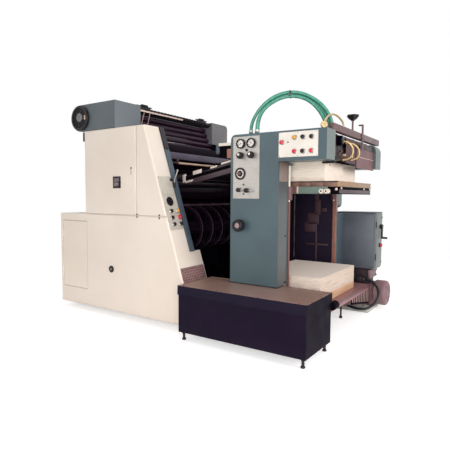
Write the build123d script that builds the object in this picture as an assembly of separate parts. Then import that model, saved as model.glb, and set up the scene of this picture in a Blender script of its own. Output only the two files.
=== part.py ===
from build123d import *
import math
import os

# Offset printing press: one printing unit with a pile feeder, all sizes in millimetres.
# X runs from the delivery end to the feeder, Y from the operator side to the drive side, Z up from the floor.

# Printing unit, across the press
unit_width = 1920
cover_depth = 195
frame_thickness = 56
skirt_depth = 100
skirt_thickness = 20

# Printing unit, seen from the operator side
cover_bottom = 61
seam_height = 1008
seam_gap = 3
cover_top = 1835
tall_cover_start = 410
front_seam = 1132
slope_top = 1233
slope_lean = 18
slope_foot_height = 425
rail_proud = 18
rail_foot_height = 690
cover_round = 14
bed_height = 150
bed_margin = 25
pad_radius = 45
pad_height = 30

# Access door in the operator lower cover
door_left = 47
door_right = 430
door_bottom = 235
door_top = 927
door_thickness = 20
door_gap = 5
door_pocket_depth = 180
door_stop = 24
hinge_radius = 7
hinge_pin_radius = 3
hinge_clearance = 0.08
hinge_length = 120
hinge_leaf = 3
lock_radius = 11

# Unit control panel on the slanted front of the operator cover
panel_bottom = 890
panel_top = 1368
panel_thickness = 6
panel_margin = 8
dial_radius = 42
dial_height = 1141
button_radius = 17
button_height = 14
button_row_height = 1055
button_row_pitch = 59
button_column_inset = 67
lever_radius = 6
lever_grip_radius = 12
lever_height = 1337
lever_length = 75
kick_bottom = 429
kick_top = 560
kick_thickness = 5

# Covers of the ink unit
ink_cover_height = 263
ink_cover_end = 859
ink_cover_width = 341
ink_cover_round = 50
ink_edge_round = 6
ink_motor_x = 352
ink_motor_radius = 124
ink_motor_proud = 40

# Cylinders and rollers
cylinder_radius = 145
cylinder_end_gap = 55
nip = 6
impression_x = 1070
impression_z = 1000
journal_radius = 55
journal_clearance = 0.08
seat_clearance = 0.3
journal_depth = 40
blanket_angle = 92
plate_angle = 100
cylinder_gap_width = 60
cylinder_gap_depth = 34
drum_radius = 206
drum_x = 1461
drum_z = 889
drum_disc_count = 9
drum_disc_thickness = 14
drum_disc_rim = 26
drum_core_radius = 60
drum_web = 22
gripper_shaft_radius = 11
gripper_width = 26
gripper_length = 48
gripper_thickness = 10
roller_radius = 28.5
roller_journal_radius = 12
roller_journal_depth = 20
roller_pitch = 63
roller_step = 22
roller_top_x = 740
roller_top_z = 2005
roller_count = 5
roller_end_gap = 6

# Ink fountain
fountain_wall = 14
fountain_depth = 74
fountain_lip = 22
fountain_drop = 12
fountain_key_radius = 8
fountain_key_length = 22
fountain_key_count = 20
fountain_lever_rise = 38
fountain_lever_width = 24
fountain_lever_length = 86
fountain_lever_inset = 90

# Cross members between the side frames
tie_beam_x = 1245
tie_beam_z = 1582
tie_beam_width = 70
tie_beam_height = 64
guard_bar_x = 1292
guard_bar_z = 1506
guard_bar_radius = 15

# Feed board between the feeder and the unit
feed_board_length = 750
feed_board_low_z = 1380
feed_board_high_z = 1538
feed_board_margin = 93
feed_board_thickness = 18
feed_rail_height = 46
feed_rail_width = 36
feed_rail_gap = 28
feed_post_length = 60
feed_post_count = 4
feed_guide_width = 22
feed_guide_height = 20
feed_lay_length = 44
feed_lay_height = 46
feed_shaft_radius = 16
feed_beam_width = 40
feed_tape_width = 42
feed_tape_count = 5
feed_tape_thickness = 3

# Delivery at the far left end
delivery_board_z = 330
delivery_board_length = 700
delivery_board_thickness = 40
delivery_runner_width = 90
delivery_runner_count = 4

# Feeder frame
column_left = 2039
column_width = 446
column_front = 208
column_depth = 179
feeder_top = 1704
arm_length = 394
arm_height = 234
corner_round = 45
drive_arm_round = 70
drive_post_depth = 57
drive_post_reach = 120
drive_column_height = 629
platform_top = 290
platform_height = 52
platform_length = 776
platform_rib = 14
platform_rib_height = 60
platform_rib_count = 6
platform_foot_radius = 9
platform_foot_ball = 16
platform_foot_inset_x = 158
platform_foot_inset_y = 272
hoist_shaft_radius = 12
hoist_drum_radius = 38
hoist_drum_width = 60
hoist_inset = 103
hoist_hanger = 20
post_radius = 12
post_inset = 10
post_offset = 43
post_bracket_height = 22

# Pile, board and lift carriage
pile_board_start = 41
pile_board_length = 790
pile_board_margin = 118
pile_board_top = 1320
pile_board_thickness = 45
pile_start = 12
pile_length = 640
upper_pile_margin = 54.5
upper_pile_top = 1488
lower_pile_margin = 9
lower_pile_top = 515
lower_skid_height = 67
carriage_height = 56
carriage_beam_width = 50
carriage_bar_width = 46
carriage_plate = 16
carriage_plate_length = 318
carriage_roller_radius = 19
carriage_roller_pitch = 42
carriage_roller_width = 46
shoe_radius = 26
shoe_height = 110
shoe_clearance = 0.08

# Panels and knobs of the feeder
gauge_panel_inset = 28
gauge_panel_width = 250
gauge_panel_drop = 21
gauge_panel_height = 508
plate_thickness = 6
gauge_radius = 40
gauge_depth = 26
gauge_knob_radius = 17
gauge_dial_radius = 48
hand_knob_inset = 111
hand_knob_z = 952
hand_knob_radius = 48
hand_knob_depth = 53
button_panel_inset = 4
button_panel_width = 323
button_panel_drop = 15
button_panel_height = 191
panel_button_radius = 20
panel_button_height = 18

# Suction head and the rail that carries it
head_rail_inset = 54
head_rail_width = 50
head_rail_height = 56
head_rail_overhang = 120
head_knob_offset = 78
head_knob_radius = 30
head_knob_neck = 14
head_stem_radius = 9
head_stem_height = 86
hanger_offset = 95
hanger_width = 30
hanger_thickness = 12
hanger_rise = 66
hanger_drop = 94
suction_beam_inset = 122
suction_beam_width = 64
suction_beam_bottom = 1606
suction_beam_height = 74
sucker_count = 6
sucker_spread = 640
sucker_radius = 13
sucker_tip_radius = 22
sucker_lift = 12
sucker_reach = 84
sucker_arm_width = 30
sucker_arm_height = 26
blower_radius = 38
blower_length = 52
blower_offset = 385
blower_height = 1648
guard_plate_offset = 30
guard_plate_bottom = 1450
guard_plate_top = 1652
guard_plate_thickness = 8

# Hoses
hose_diameter = 28
hose_socket_wall = 4
hose_socket_height = 20
pump_hose_diameter = 28
tube_diameter = 13
valve_width = 36
valve_depth = 24

# Footboard
footboard_start = 276
footboard_length = 1142
footboard_reach = 370
footboard_depth = 485
footboard_bottom = 70
footboard_top_height = 458
footboard_plate = 10
footboard_rim = 14
footboard_lid = 76
footboard_step = 6
footboard_leg_radius = 11
footboard_leg_inset = 28

# Electrical cabinet and air pump behind the feeder
cabinet_overlap = 82
cabinet_width = 433
cabinet_gap = 60
cabinet_depth = 248
cabinet_bottom = 432
cabinet_top = 1026
cabinet_bracket_height = 60
switch_inset = 99
switch_z = 875
switch_hub_radius = 24
switch_hub_length = 34
switch_lever_length = 120
switch_lever_width = 22
switch_lever_thickness = 16
switch_clearance = 0.3
pump_overhang = 114
pump_length = 430
pump_radius = 106
pump_cowl_radius = 132
pump_cowl_length = 120
pump_axis_z = 170
pump_fin_count = 12
pump_fin_height = 14
pump_foot_width = 180
pump_base_height = 30
pump_box_length = 250
pump_box_width = 190
pump_box_top = 418
pump_flange = 22
pump_inlet_width = 62
pump_inlet_inset = 200
pump_inlet_offset = 153
pump_inlet_z = 320

# Places worked out from the sizes above
centre_y = unit_width / 2
frame_outer = cover_depth
frame_inner = cover_depth + frame_thickness
drive_inner = unit_width - frame_inner
lean_tan = math.tan(math.radians(slope_lean))
lean_sin = math.sin(math.radians(slope_lean))
lean_cos = math.cos(math.radians(slope_lean))
ink_top = cover_top + ink_cover_height
column_right = column_left + column_width
column_back = column_front + column_depth
drive_front = unit_width - column_back
drive_back = unit_width - column_front
bay_width = drive_front - column_back
arm_end = column_right + arm_length
arm_bottom = feeder_top - arm_height
drive_column_bottom = feeder_top - drive_column_height
platform_end = column_left + platform_length
post_x = column_right - post_inset
cylinder_length = drive_inner - frame_inner - 2 * cylinder_end_gap
feed_board_low_x = column_left - feed_board_length
feed_board_high_x = column_left
feed_rail_top = feed_board_thickness + feed_rail_gap
feed_rail_low = feed_rail_top + feed_rail_height
feed_board_width = bay_width - 2 * feed_board_margin
pile_board_left = column_left + pile_board_start
pile_board_end = pile_board_left + pile_board_length
pile_board_width = bay_width - 2 * pile_board_margin
pile_left = pile_board_left + pile_start
pile_right = pile_left + pile_length
upper_pile_width = pile_board_width - 2 * upper_pile_margin
lower_pile_width = pile_board_width - 2 * lower_pile_margin
gauge_panel_left = column_left + gauge_panel_inset
gauge_panel_right = gauge_panel_left + gauge_panel_width
gauge_panel_top = feeder_top - gauge_panel_drop
gauge_panel_bottom = gauge_panel_top - gauge_panel_height
hand_knob_x = column_left + hand_knob_inset
button_panel_left = column_right + button_panel_inset
button_panel_right = button_panel_left + button_panel_width
button_panel_top = feeder_top - button_panel_drop
button_panel_bottom = button_panel_top - button_panel_height
head_rail_x = arm_end - head_rail_inset
suction_beam_x = arm_end - suction_beam_inset
suction_beam_front = suction_beam_x + suction_beam_width
head_knob_y = centre_y - head_knob_offset
guard_plate_start = centre_y + guard_plate_offset
footboard_left = column_left - footboard_start
footboard_right = footboard_left + footboard_length
footboard_front = column_front - footboard_reach
footboard_back = footboard_front + footboard_depth
cabinet_left = column_right - cabinet_overlap
cabinet_right = cabinet_left + cabinet_width
cabinet_front = drive_back + cabinet_gap
cabinet_back = cabinet_front + cabinet_depth
switch_y = cabinet_back - switch_inset
press_end = cabinet_right + pump_overhang
pump_start = press_end - pump_length
pump_y = cabinet_back - pump_cowl_radius
pump_inlet_x = pump_start + pump_inlet_inset
pump_inlet_y = pump_y - pump_inlet_offset
origin_x = press_end / 2
origin_y = (footboard_front + cabinet_back) / 2

nodes = {}


def slope_x(z):
    # The slanted front leans forward towards the floor.
    return slope_top + (cover_top - z) * lean_tan


def slope_plane(z):
    # Local x runs across the press, local y up the slant, local z out of it.
    return Plane(origin=(slope_x(z), 0, z), x_dir=(0, 1, 0), z_dir=(lean_cos, 0, lean_sin))


def slope_length(low, high):
    return (high - low) / lean_cos


def block(x0, x1, y0, y1, z0, z1):
    middle = Pos((x0 + x1) / 2, (y0 + y1) / 2, (z0 + z1) / 2)
    return middle * Box(x1 - x0, y1 - y0, z1 - z0)


def side_profile(points, y0, y1):
    # A flat outline seen from the operator side, given depth across the press.
    outline = Polyline([(x, y0, z) for x, z in points], close=True)
    return extrude(make_face(outline), amount=y1 - y0, dir=(0, 1, 0))


def rod_x(y, z, radius, x0, x1):
    return Pos(x0, y, z) * Rot(0, 90, 0) * Cylinder(radius, x1 - x0, align=(Align.CENTER, Align.CENTER, Align.MIN))


def rod_y(x, z, radius, y0, y1):
    return Pos(x, y0, z) * Rot(-90, 0, 0) * Cylinder(radius, y1 - y0, align=(Align.CENTER, Align.CENTER, Align.MIN))


def rod_z(x, y, radius, z0, z1):
    return Pos(x, y, z0) * Cylinder(radius, z1 - z0, align=(Align.CENTER, Align.CENTER, Align.MIN))


def far_side(shape):
    # The drive side mirrors the operator side about the middle of the press.
    return mirror(shape, about=Plane(origin=(0, centre_y, 0), z_dir=(0, 1, 0)))


def outer_edges(shape, y):
    # Edges that lie in the plane of the given outer face.
    return shape.edges().filter_by_position(Axis.Y, y - 0.01, y + 0.01)


# Bed with levelling pads
bed_right = slope_top + (cover_top - slope_foot_height) * lean_tan - skirt_thickness - bed_margin


def make_unit_bed():
    bed = block(bed_margin, bed_right, frame_outer, unit_width - frame_outer, pad_height, bed_height)
    well = block(bed_margin + frame_thickness, bed_right - frame_thickness, frame_inner, drive_inner,
                 bed_height / 2, bed_height)
    return bed - well


# Levelling feet under the bed, the feeder platform and the footboard
def feet_under(x0, x1, y0, y1, columns, radius, height):
    step = (x1 - x0 - 2 * radius) / (columns - 1)
    return [
        rod_z(x0 + radius + step * i, y, radius, 0, height)
        for i in range(columns)
        for y in (y0 + radius, y1 - radius)
    ]


def make_levelling_feet():
    feet = feet_under(bed_margin, bed_right, frame_outer, unit_width - frame_outer, 3, pad_radius, pad_height)
    for x in (column_left + platform_foot_inset_x, platform_end - platform_foot_inset_x):
        for y in (column_back + platform_foot_inset_y, drive_front - platform_foot_inset_y):
            bolt = rod_z(x, y, platform_foot_radius, 0, platform_top - platform_height)
            pad = rod_z(x, y, platform_foot_ball, 0, 1.5 * platform_foot_ball)
            feet.append(bolt + fillet(pad.edges().sort_by(Axis.Z)[-1], platform_foot_ball / 2))
    inset = footboard_leg_inset
    feet += feet_under(footboard_left + inset, footboard_right - inset, footboard_front + inset,
                       footboard_back - inset, 2, footboard_leg_radius, footboard_bottom)
    return feet


# Cylinder centres: the blanket cylinder stands on the impression cylinder and the plate cylinder on the blanket
def next_centre(centre, angle):
    reach = 2 * cylinder_radius + nip
    turn = math.radians(angle)
    return (centre[0] + reach * math.cos(turn), centre[1] + reach * math.sin(turn))


impression_centre = (impression_x, impression_z)
blanket_centre = next_centre(impression_centre, blanket_angle)
plate_centre = next_centre(blanket_centre, plate_angle)
drum_centre = (drum_x, drum_z)
roller_centres = [
    (roller_top_x + i * roller_step, roller_top_z - i * roller_pitch) for i in range(roller_count)
]


def in_ink_cover(centre):
    return centre[1] - roller_journal_radius > cover_top


# Side frames carry the cylinders in bores and show their front edge as a rail beside the covers
def make_side_frame():
    back_edge = tall_cover_start + bed_margin
    front_top = slope_x(cover_top) + rail_proud
    front_foot = slope_x(rail_foot_height) + rail_proud
    inset = skirt_thickness / lean_cos
    outline = [
        (bed_margin, bed_height),
        (slope_x(bed_height) - inset - (slope_x(bed_height) - slope_x(slope_foot_height)), bed_height),
        (slope_x(slope_foot_height) - inset, slope_foot_height),
        (slope_x(rail_foot_height) - inset, rail_foot_height),
        (front_foot, rail_foot_height),
        (front_top, cover_top),
        (back_edge, cover_top),
        (back_edge, seam_height),
        (bed_margin, seam_height - seam_gap),
    ]
    frame = side_profile(outline, frame_outer, frame_inner)
    bore = journal_radius + journal_clearance
    for x, z in (impression_centre, blanket_centre, plate_centre, drum_centre):
        frame -= rod_y(x, z, bore, frame_inner - journal_depth, frame_inner)
    for centre in roller_centres:
        if not in_ink_cover(centre):
            frame -= rod_y(*centre, roller_journal_radius + journal_clearance,
                           frame_inner - roller_journal_depth, frame_inner)
    return frame


# Lower cover with the slanted skirt that closes the front of the frame
def make_lower_cover():
    top = seam_height - seam_gap
    outline = [
        (0, cover_bottom),
        (slope_x(slope_foot_height), cover_bottom),
        (slope_x(slope_foot_height), slope_foot_height),
        (slope_x(top), top),
        (0, top),
    ]
    cover = side_profile(outline, 0, cover_depth)
    cover = fillet(outer_edges(cover, 0), cover_round)
    inset = skirt_thickness / lean_cos
    skirt_outline = [
        (slope_x(slope_foot_height) - inset, cover_bottom),
        (slope_x(slope_foot_height), cover_bottom),
        (slope_x(slope_foot_height), slope_foot_height),
        (slope_x(rail_foot_height), rail_foot_height),
        (slope_x(rail_foot_height) - inset, rail_foot_height),
        (slope_x(slope_foot_height) - inset, slope_foot_height),
    ]
    return cover + side_profile(skirt_outline, cover_depth, frame_inner + skirt_depth)


def cut_door_opening(cover):
    opening = block(door_left - door_gap, door_right + door_gap, 0, door_thickness,
                    door_bottom - door_gap, door_top + door_gap)
    pocket = block(door_left + door_stop, door_right - door_stop, 0, door_pocket_depth,
                   door_bottom + door_stop, door_top - door_stop)
    return cover - opening - pocket


# Upper covers on each side of the upright seam
def make_upper_cover(left, right_points):
    outline = [(left, seam_height), *right_points, (left, cover_top)]
    cover = side_profile(outline, 0, cover_depth)
    return fillet(outer_edges(cover, 0), cover_round)


front_points = [(slope_x(seam_height), seam_height), (slope_x(cover_top), cover_top)]
seam_points = [(front_seam, seam_height), (front_seam, cover_top)]

# Hinges of the access door: the pin stays with the cover, the middle knuckle with the door
hinge_x = door_left - door_gap / 2
hinge_y = -hinge_radius
hinge_heights = [door_bottom + (door_top - door_bottom) * share for share in (0.22, 0.78)]
knuckle = hinge_length / 3


def hinge_part(low, high, leaf_start, leaf_end):
    barrel = rod_z(hinge_x, hinge_y, hinge_radius, low, high)
    leaf = block(leaf_start, leaf_end, -hinge_leaf, 0, low, high)
    return barrel + leaf


def make_cover_hinges():
    parts = []
    for height in hinge_heights:
        pin = rod_z(hinge_x, hinge_y, hinge_pin_radius, height - knuckle / 2, height + knuckle / 2)
        lower = hinge_part(height - 1.5 * knuckle, height - knuckle / 2, cover_round, hinge_x)
        upper = hinge_part(height + knuckle / 2, height + 1.5 * knuckle, cover_round, hinge_x)
        parts.append(lower + upper + pin)
    return parts


def make_access_door():
    door = block(door_left, door_right, 0, door_thickness - hinge_leaf / 2, door_bottom, door_top)
    for height in hinge_heights:
        low = height - knuckle / 2 + hinge_clearance
        high = height + knuckle / 2 - hinge_clearance
        part = hinge_part(low, high, hinge_x, door_left + knuckle)
        part -= rod_z(hinge_x, hinge_y, hinge_pin_radius + hinge_clearance, low, high)
        door += part
    lock_x = door_right - 2 * door_stop
    lock_z = (door_bottom + door_top) / 2
    door += rod_y(lock_x, lock_z, lock_radius, -lock_radius / 2, 0)
    return door


# Ink unit covers with a round end behind the motor, and an outer edge rounded as asked
def make_ink_cover(edge_round):
    radius = ink_cover_height / 2
    middle = cover_top + radius
    box = block(ink_motor_x, ink_cover_end, 0, ink_cover_width, cover_top, ink_top)
    cover = box + rod_y(ink_motor_x, middle, radius, 0, ink_cover_width)
    outer_top = outer_edges(cover, 0).filter_by(Axis.X).sort_by(Axis.Z)[-1]
    cover = fillet(outer_top, edge_round)
    for centre in roller_centres:
        if in_ink_cover(centre):
            cover -= rod_y(*centre, roller_journal_radius + journal_clearance,
                           ink_cover_width - roller_journal_depth, ink_cover_width)
    return cover


def make_ink_motor():
    middle = cover_top + ink_cover_height / 2
    body = rod_y(ink_motor_x, middle, ink_motor_radius, -ink_motor_proud, 0)
    body = fillet(outer_edges(body, -ink_motor_proud), ink_motor_proud / 4)
    dish = ink_motor_radius * 0.78
    body -= rod_y(ink_motor_x, middle, dish, -ink_motor_proud, -ink_motor_proud * 0.7)
    hub = ink_motor_radius * 0.3
    return body + rod_y(ink_motor_x, middle, hub, -ink_motor_proud * 0.9, -ink_motor_proud * 0.7)


# Control panel, its controls and the kick plate lie on the slanted front
panel_middle = (panel_bottom + panel_top) / 2
panel_width = cover_depth - 2 * panel_margin


def make_unit_control_panel():
    length = slope_length(panel_bottom, panel_top)
    plate = Pos(cover_depth / 2, 0, panel_thickness / 2) * Box(panel_width, length, panel_thickness)
    return slope_plane(panel_middle) * plate


def make_unit_panel_controls():
    left = button_column_inset
    right = cover_depth - button_column_inset / 2
    base = (Align.CENTER, Align.CENTER, Align.MIN)

    def stud(x, z, radius, height):
        return slope_plane(z) * Pos(x, 0, panel_thickness) * Cylinder(radius, height, align=base)

    controls = [stud(cover_depth / 2, dial_height, dial_radius, button_height)]
    for row in range(3):
        z = button_row_height - row * button_row_pitch
        controls += [stud(x, z, button_radius, button_height) for x in (left, right)]
    boss = stud(right, lever_height, lever_grip_radius, 2 * button_height)
    turn = Pos(right, 0, panel_thickness + 2 * button_height) * Rot(90, 0, 0)
    lever = turn * Cylinder(lever_radius, lever_length, align=base)
    grip = turn * Pos(0, 0, lever_length / 2) * Cylinder(lever_grip_radius, lever_length / 2, align=base)
    controls.append(boss + slope_plane(lever_height) * lever + slope_plane(lever_height) * grip)
    return controls


def make_kick_plate():
    width = frame_inner + skirt_depth - 2 * cover_round
    length = slope_length(kick_bottom, kick_top)
    plate = Pos(cover_round + width / 2, 0, kick_thickness / 2) * Box(width, length, kick_thickness)
    return slope_plane((kick_bottom + kick_top) / 2) * plate


# Ink fountain: a trough with a steel front bar and keys, hung between the two ink covers
def make_ink_fountain():
    front = ink_cover_end - fountain_lip
    back = front - fountain_depth - fountain_wall
    low = roller_top_z + roller_radius + nip
    top = ink_top - fountain_drop
    floor_front = front - 2 * fountain_wall
    floor_back = back + fountain_wall
    outline = [
        (back, top - fountain_wall),
        (floor_back, low),
        (floor_front, low),
        (front, top - fountain_lip),
        (front, top),
        (front - 2 * fountain_wall, top),
        (floor_front - fountain_wall, low + fountain_wall),
        (floor_back + fountain_wall, low + fountain_wall),
        (back + fountain_wall, top - fountain_wall),
    ]
    fountain = side_profile(outline, ink_cover_width, unit_width - ink_cover_width)
    span = unit_width - 2 * ink_cover_width - 2 * fountain_lever_inset
    for i in range(fountain_key_count):
        y = ink_cover_width + fountain_lever_inset + span * (i + 0.5) / fountain_key_count
        fountain += rod_x(y, top - fountain_lip / 2, fountain_key_radius, front, front + fountain_key_length)
    near = ink_cover_width + fountain_lever_inset
    for y in (near, unit_width - near):
        x = front - fountain_wall
        fountain += rod_z(x, y, fountain_lever_width / 4, top, top + fountain_lever_rise)
        fountain += block(x - fountain_wall, x + fountain_wall, y - fountain_lever_length / 2,
                          y + fountain_lever_length / 2, top + fountain_lever_rise - fountain_lever_width / 2,
                          top + fountain_lever_rise)
    return fountain


# Printing cylinders turn on journals held in the frames
cylinder_start = centre_y - cylinder_length / 2
cylinder_end = centre_y + cylinder_length / 2


def make_cylinder(centre, gap_angle):
    x, z = centre
    drum = rod_y(x, z, cylinder_radius, cylinder_start, cylinder_end)
    slot = Pos(x, 0, z) * Rot(0, gap_angle, 0) * block(
        cylinder_radius - cylinder_gap_depth, cylinder_radius + nip,
        cylinder_start + frame_thickness, cylinder_end - frame_thickness,
        -cylinder_gap_width / 2, cylinder_gap_width / 2)
    ends = frame_inner - journal_depth + journal_clearance
    return drum - slot + rod_y(x, z, journal_radius, ends, unit_width - ends)


# Skeleton transfer drum: thin rimmed discs on a core, with two bars along the drum
def make_transfer_drum():
    x, z = drum_centre
    ends = frame_inner - journal_depth + journal_clearance
    drum = rod_y(x, z, journal_radius, ends, unit_width - ends)
    drum += rod_y(x, z, drum_core_radius, cylinder_start, cylinder_end)
    span = cylinder_length - drum_disc_thickness
    inner = drum_radius - drum_disc_rim
    for i in range(drum_disc_count):
        y = cylinder_start + span * i / (drum_disc_count - 1)
        rim = rod_y(x, z, drum_radius, y, y + drum_disc_thickness)
        rim -= rod_y(x, z, inner, y, y + drum_disc_thickness)
        spokes = [
            Pos(x, 0, z) * Rot(0, 90 * turn, 0) * block(
                0, inner + drum_disc_rim / 2, y, y + drum_disc_thickness, -drum_web / 2, drum_web / 2)
            for turn in range(4)
        ]
        drum += [rim, *spokes]
    return drum + make_grippers()


def make_grippers():
    # Two shafts run through the rims, each with a row of gripper fingers between the discs.
    reach = drum_radius - drum_disc_rim / 2 - gripper_shaft_radius / 2
    grippers = []
    for turn in (45, 225):
        def place(part):
            return Pos(drum_x, 0, drum_z) * Rot(0, turn, 0) * part
        grippers.append(place(rod_y(reach, 0, gripper_shaft_radius, cylinder_start, cylinder_end)))
        pitch = (cylinder_length - drum_disc_thickness) / (drum_disc_count - 1)
        for i in range(drum_disc_count - 1):
            y = cylinder_start + pitch * (i + 0.5) + drum_disc_thickness / 2
            grippers.append(place(block(
                reach - gripper_thickness / 2, reach + gripper_thickness / 2, y - gripper_width / 2,
                y + gripper_width / 2, 0, gripper_length)))
    return grippers


def make_ink_roller(centre):
    x, z = centre
    wall = ink_cover_width if in_ink_cover(centre) else frame_inner
    body = rod_y(x, z, roller_radius, ink_cover_width + roller_end_gap, unit_width - ink_cover_width - roller_end_gap)
    ends = wall - roller_journal_depth + journal_clearance
    return body + rod_y(x, z, roller_journal_radius, ends, unit_width - ends)


# Tie beam and guard bar
def make_tie_bars():
    beam = block(tie_beam_x - tie_beam_width / 2, tie_beam_x + tie_beam_width / 2, frame_inner, drive_inner,
                 tie_beam_z - tie_beam_height / 2, tie_beam_z + tie_beam_height / 2)
    bar = rod_y(guard_bar_x, guard_bar_z, guard_bar_radius, frame_inner, drive_inner)
    return [beam, bar, make_feed_shaft(), make_feed_beam()]


# Feed board on two side rails, carried by a shaft in the unit and a beam between the feeder columns
feed_slope = (feed_board_high_z - feed_board_low_z) / (feed_board_high_x - feed_board_low_x)
feed_cos = math.cos(math.atan(feed_slope))
feed_start = centre_y - feed_board_width / 2
feed_end = centre_y + feed_board_width / 2


def feed_z(x):
    return feed_board_low_z + (x - feed_board_low_x) * feed_slope


def feed_layer(x0, x1, below, above, y0, y1):
    # A layer parallel to the board, with upright ends.
    outline = [(x0, feed_z(x0) + below), (x1, feed_z(x1) + below), (x1, feed_z(x1) + above), (x0, feed_z(x0) + above)]
    return side_profile(outline, y0, y1)


def make_feed_board():
    board = feed_layer(feed_board_low_x, feed_board_high_x, -feed_board_thickness, 0, feed_start, feed_end)
    sides = []
    post_step = (feed_board_length - feed_post_length) / (feed_post_count - 1)
    for y in (feed_start, feed_end - feed_rail_width):
        sides.append(feed_layer(feed_board_low_x, feed_board_high_x, -feed_rail_low, -feed_rail_top,
                                y, y + feed_rail_width))
        for i in range(feed_post_count):
            x = feed_board_low_x + post_step * i
            sides.append(feed_layer(x, x + feed_post_length, -feed_rail_top, -feed_board_thickness,
                                    y, y + feed_rail_width))
    guides = [
        feed_layer(feed_board_low_x + 2 * feed_lay_length, feed_board_high_x - feed_lay_length, 0, feed_guide_height,
                   y, y + feed_guide_width)
        for y in (feed_start, feed_end - feed_guide_width)
    ]
    lays = [
        feed_layer(feed_board_low_x, feed_board_low_x + feed_lay_length, 0, feed_lay_height, y, y + feed_rail_width)
        for y in (feed_start, feed_end - feed_rail_width)
    ]
    return board + sides + guides + lays


def make_feed_tapes():
    span = feed_board_width - 4 * feed_tape_width
    tapes = []
    for i in range(feed_tape_count):
        y = feed_start + 1.5 * feed_tape_width + span * i / (feed_tape_count - 1)
        tapes.append(feed_layer(feed_board_low_x + feed_tape_width, feed_board_high_x - feed_tape_width,
                                0, feed_tape_thickness, y, y + feed_tape_width))
    return tapes


def make_feed_shaft():
    # The rails rest on this shaft near the low end of the board.
    x = feed_board_low_x + 2 * feed_rail_width
    drop = feed_rail_low + (feed_shaft_radius + seat_clearance) / feed_cos
    return rod_y(x, feed_z(x) - drop, feed_shaft_radius, frame_inner, drive_inner)


def make_feed_beam():
    # The rails end against this beam between the feeder columns.
    low = feed_z(feed_board_high_x) - feed_rail_low
    return block(feed_board_high_x, feed_board_high_x + feed_beam_width, column_back, drive_front,
                 low, low + feed_rail_height)


def make_delivery_board():
    left = bed_margin + frame_thickness + nip
    front = frame_inner + nip
    back = drive_inner - nip
    board = block(left, left + delivery_board_length, front, back,
                  delivery_board_z - delivery_board_thickness, delivery_board_z)
    step = (delivery_board_length - delivery_runner_width) / (delivery_runner_count - 1)
    runners = [
        block(left + step * i, left + step * i + delivery_runner_width, front, back,
              bed_height / 2, delivery_board_z - delivery_board_thickness)
        for i in range(delivery_runner_count)
    ]
    return board + runners


# Feeder frame
def round_column(shape, x, z, radius):
    corner = shape.edges().filter_by(Axis.Y).filter_by_position(Axis.X, x - 0.01, x + 0.01)
    return fillet(corner.filter_by_position(Axis.Z, z - 0.01, z + 0.01), radius)


def make_feeder_column_operator():
    column = block(column_left, column_right, column_front, column_back, 0, feeder_top)
    column = round_column(column, column_left, feeder_top, corner_round)
    return column + [hose_socket(route[0], feeder_top) for route in green_hose_routes]


def make_feeder_arm():
    return block(column_right, arm_end, column_front, column_back, arm_bottom, feeder_top)


def make_feeder_arm_operator():
    return round_column(make_feeder_arm(), arm_end, arm_bottom, corner_round / 3)


def make_feeder_arm_drive():
    return round_column(far_side(make_feeder_arm()), arm_end, feeder_top, drive_arm_round)


def make_feeder_column_drive():
    column = block(column_left, column_right, drive_front, drive_back, drive_column_bottom, feeder_top)
    column = round_column(column, column_left, feeder_top, corner_round)
    column = round_column(column, column_right, drive_column_bottom, corner_round)
    return column + block(column_left - drive_post_reach, column_right, drive_front, drive_front + drive_post_depth,
                          0, drive_column_bottom + corner_round)


def make_feeder_platform():
    low = platform_top - platform_height
    platform = block(column_left, platform_end, column_back, drive_front, low, platform_top)
    rib_low = low - platform_rib_height
    span = bay_width - 2 * platform_foot_inset_y
    for i in range(platform_rib_count):
        y = column_back + platform_foot_inset_y / 2 + (span + platform_foot_inset_y) * i / (platform_rib_count - 1)
        platform += block(column_left, platform_end - hoist_inset - 2 * hoist_drum_radius, y - platform_rib / 2,
                          y + platform_rib / 2, rib_low, low)
    return platform + make_hoist_shaft()


def make_hoist_shaft():
    # Lift shaft with two chain drums, hung under the platform.
    x = platform_end - hoist_inset
    low = platform_top - platform_height
    z = low - hoist_hanger - hoist_drum_radius
    near = column_back + platform_foot_inset_y
    far = drive_front - platform_foot_inset_y
    parts = [rod_y(x, z, hoist_shaft_radius, near - hoist_drum_width, far + hoist_drum_width)]
    for y in (near, far):
        parts.append(rod_y(x, z, hoist_drum_radius, y - hoist_drum_width / 2, y + hoist_drum_width / 2))
        for side in (-1, 1):
            hanger = y + side * hoist_drum_width * 0.8
            parts.append(block(x - hoist_shaft_radius * 2, x + hoist_shaft_radius * 2, hanger - platform_rib / 2,
                               hanger + platform_rib / 2, z - hoist_shaft_radius * 2, low))
    return parts


post_y = column_back + post_offset


def make_guide_post():
    top = arm_bottom - post_bracket_height
    post = rod_z(post_x, post_y, post_radius, platform_top, top)
    bracket = block(post_x - 2 * post_radius, post_x + 2 * post_radius, column_back, post_y + 2 * post_radius,
                    top, arm_bottom)
    return post + bracket


# Lift carriage: two beams and two cross bars under the board, with shoes on the guide posts
board_start = centre_y - pile_board_width / 2
board_end = centre_y + pile_board_width / 2
carriage_top = pile_board_top - pile_board_thickness
carriage_low = carriage_top - carriage_height
beam_offset = carriage_beam_width / 2


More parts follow.
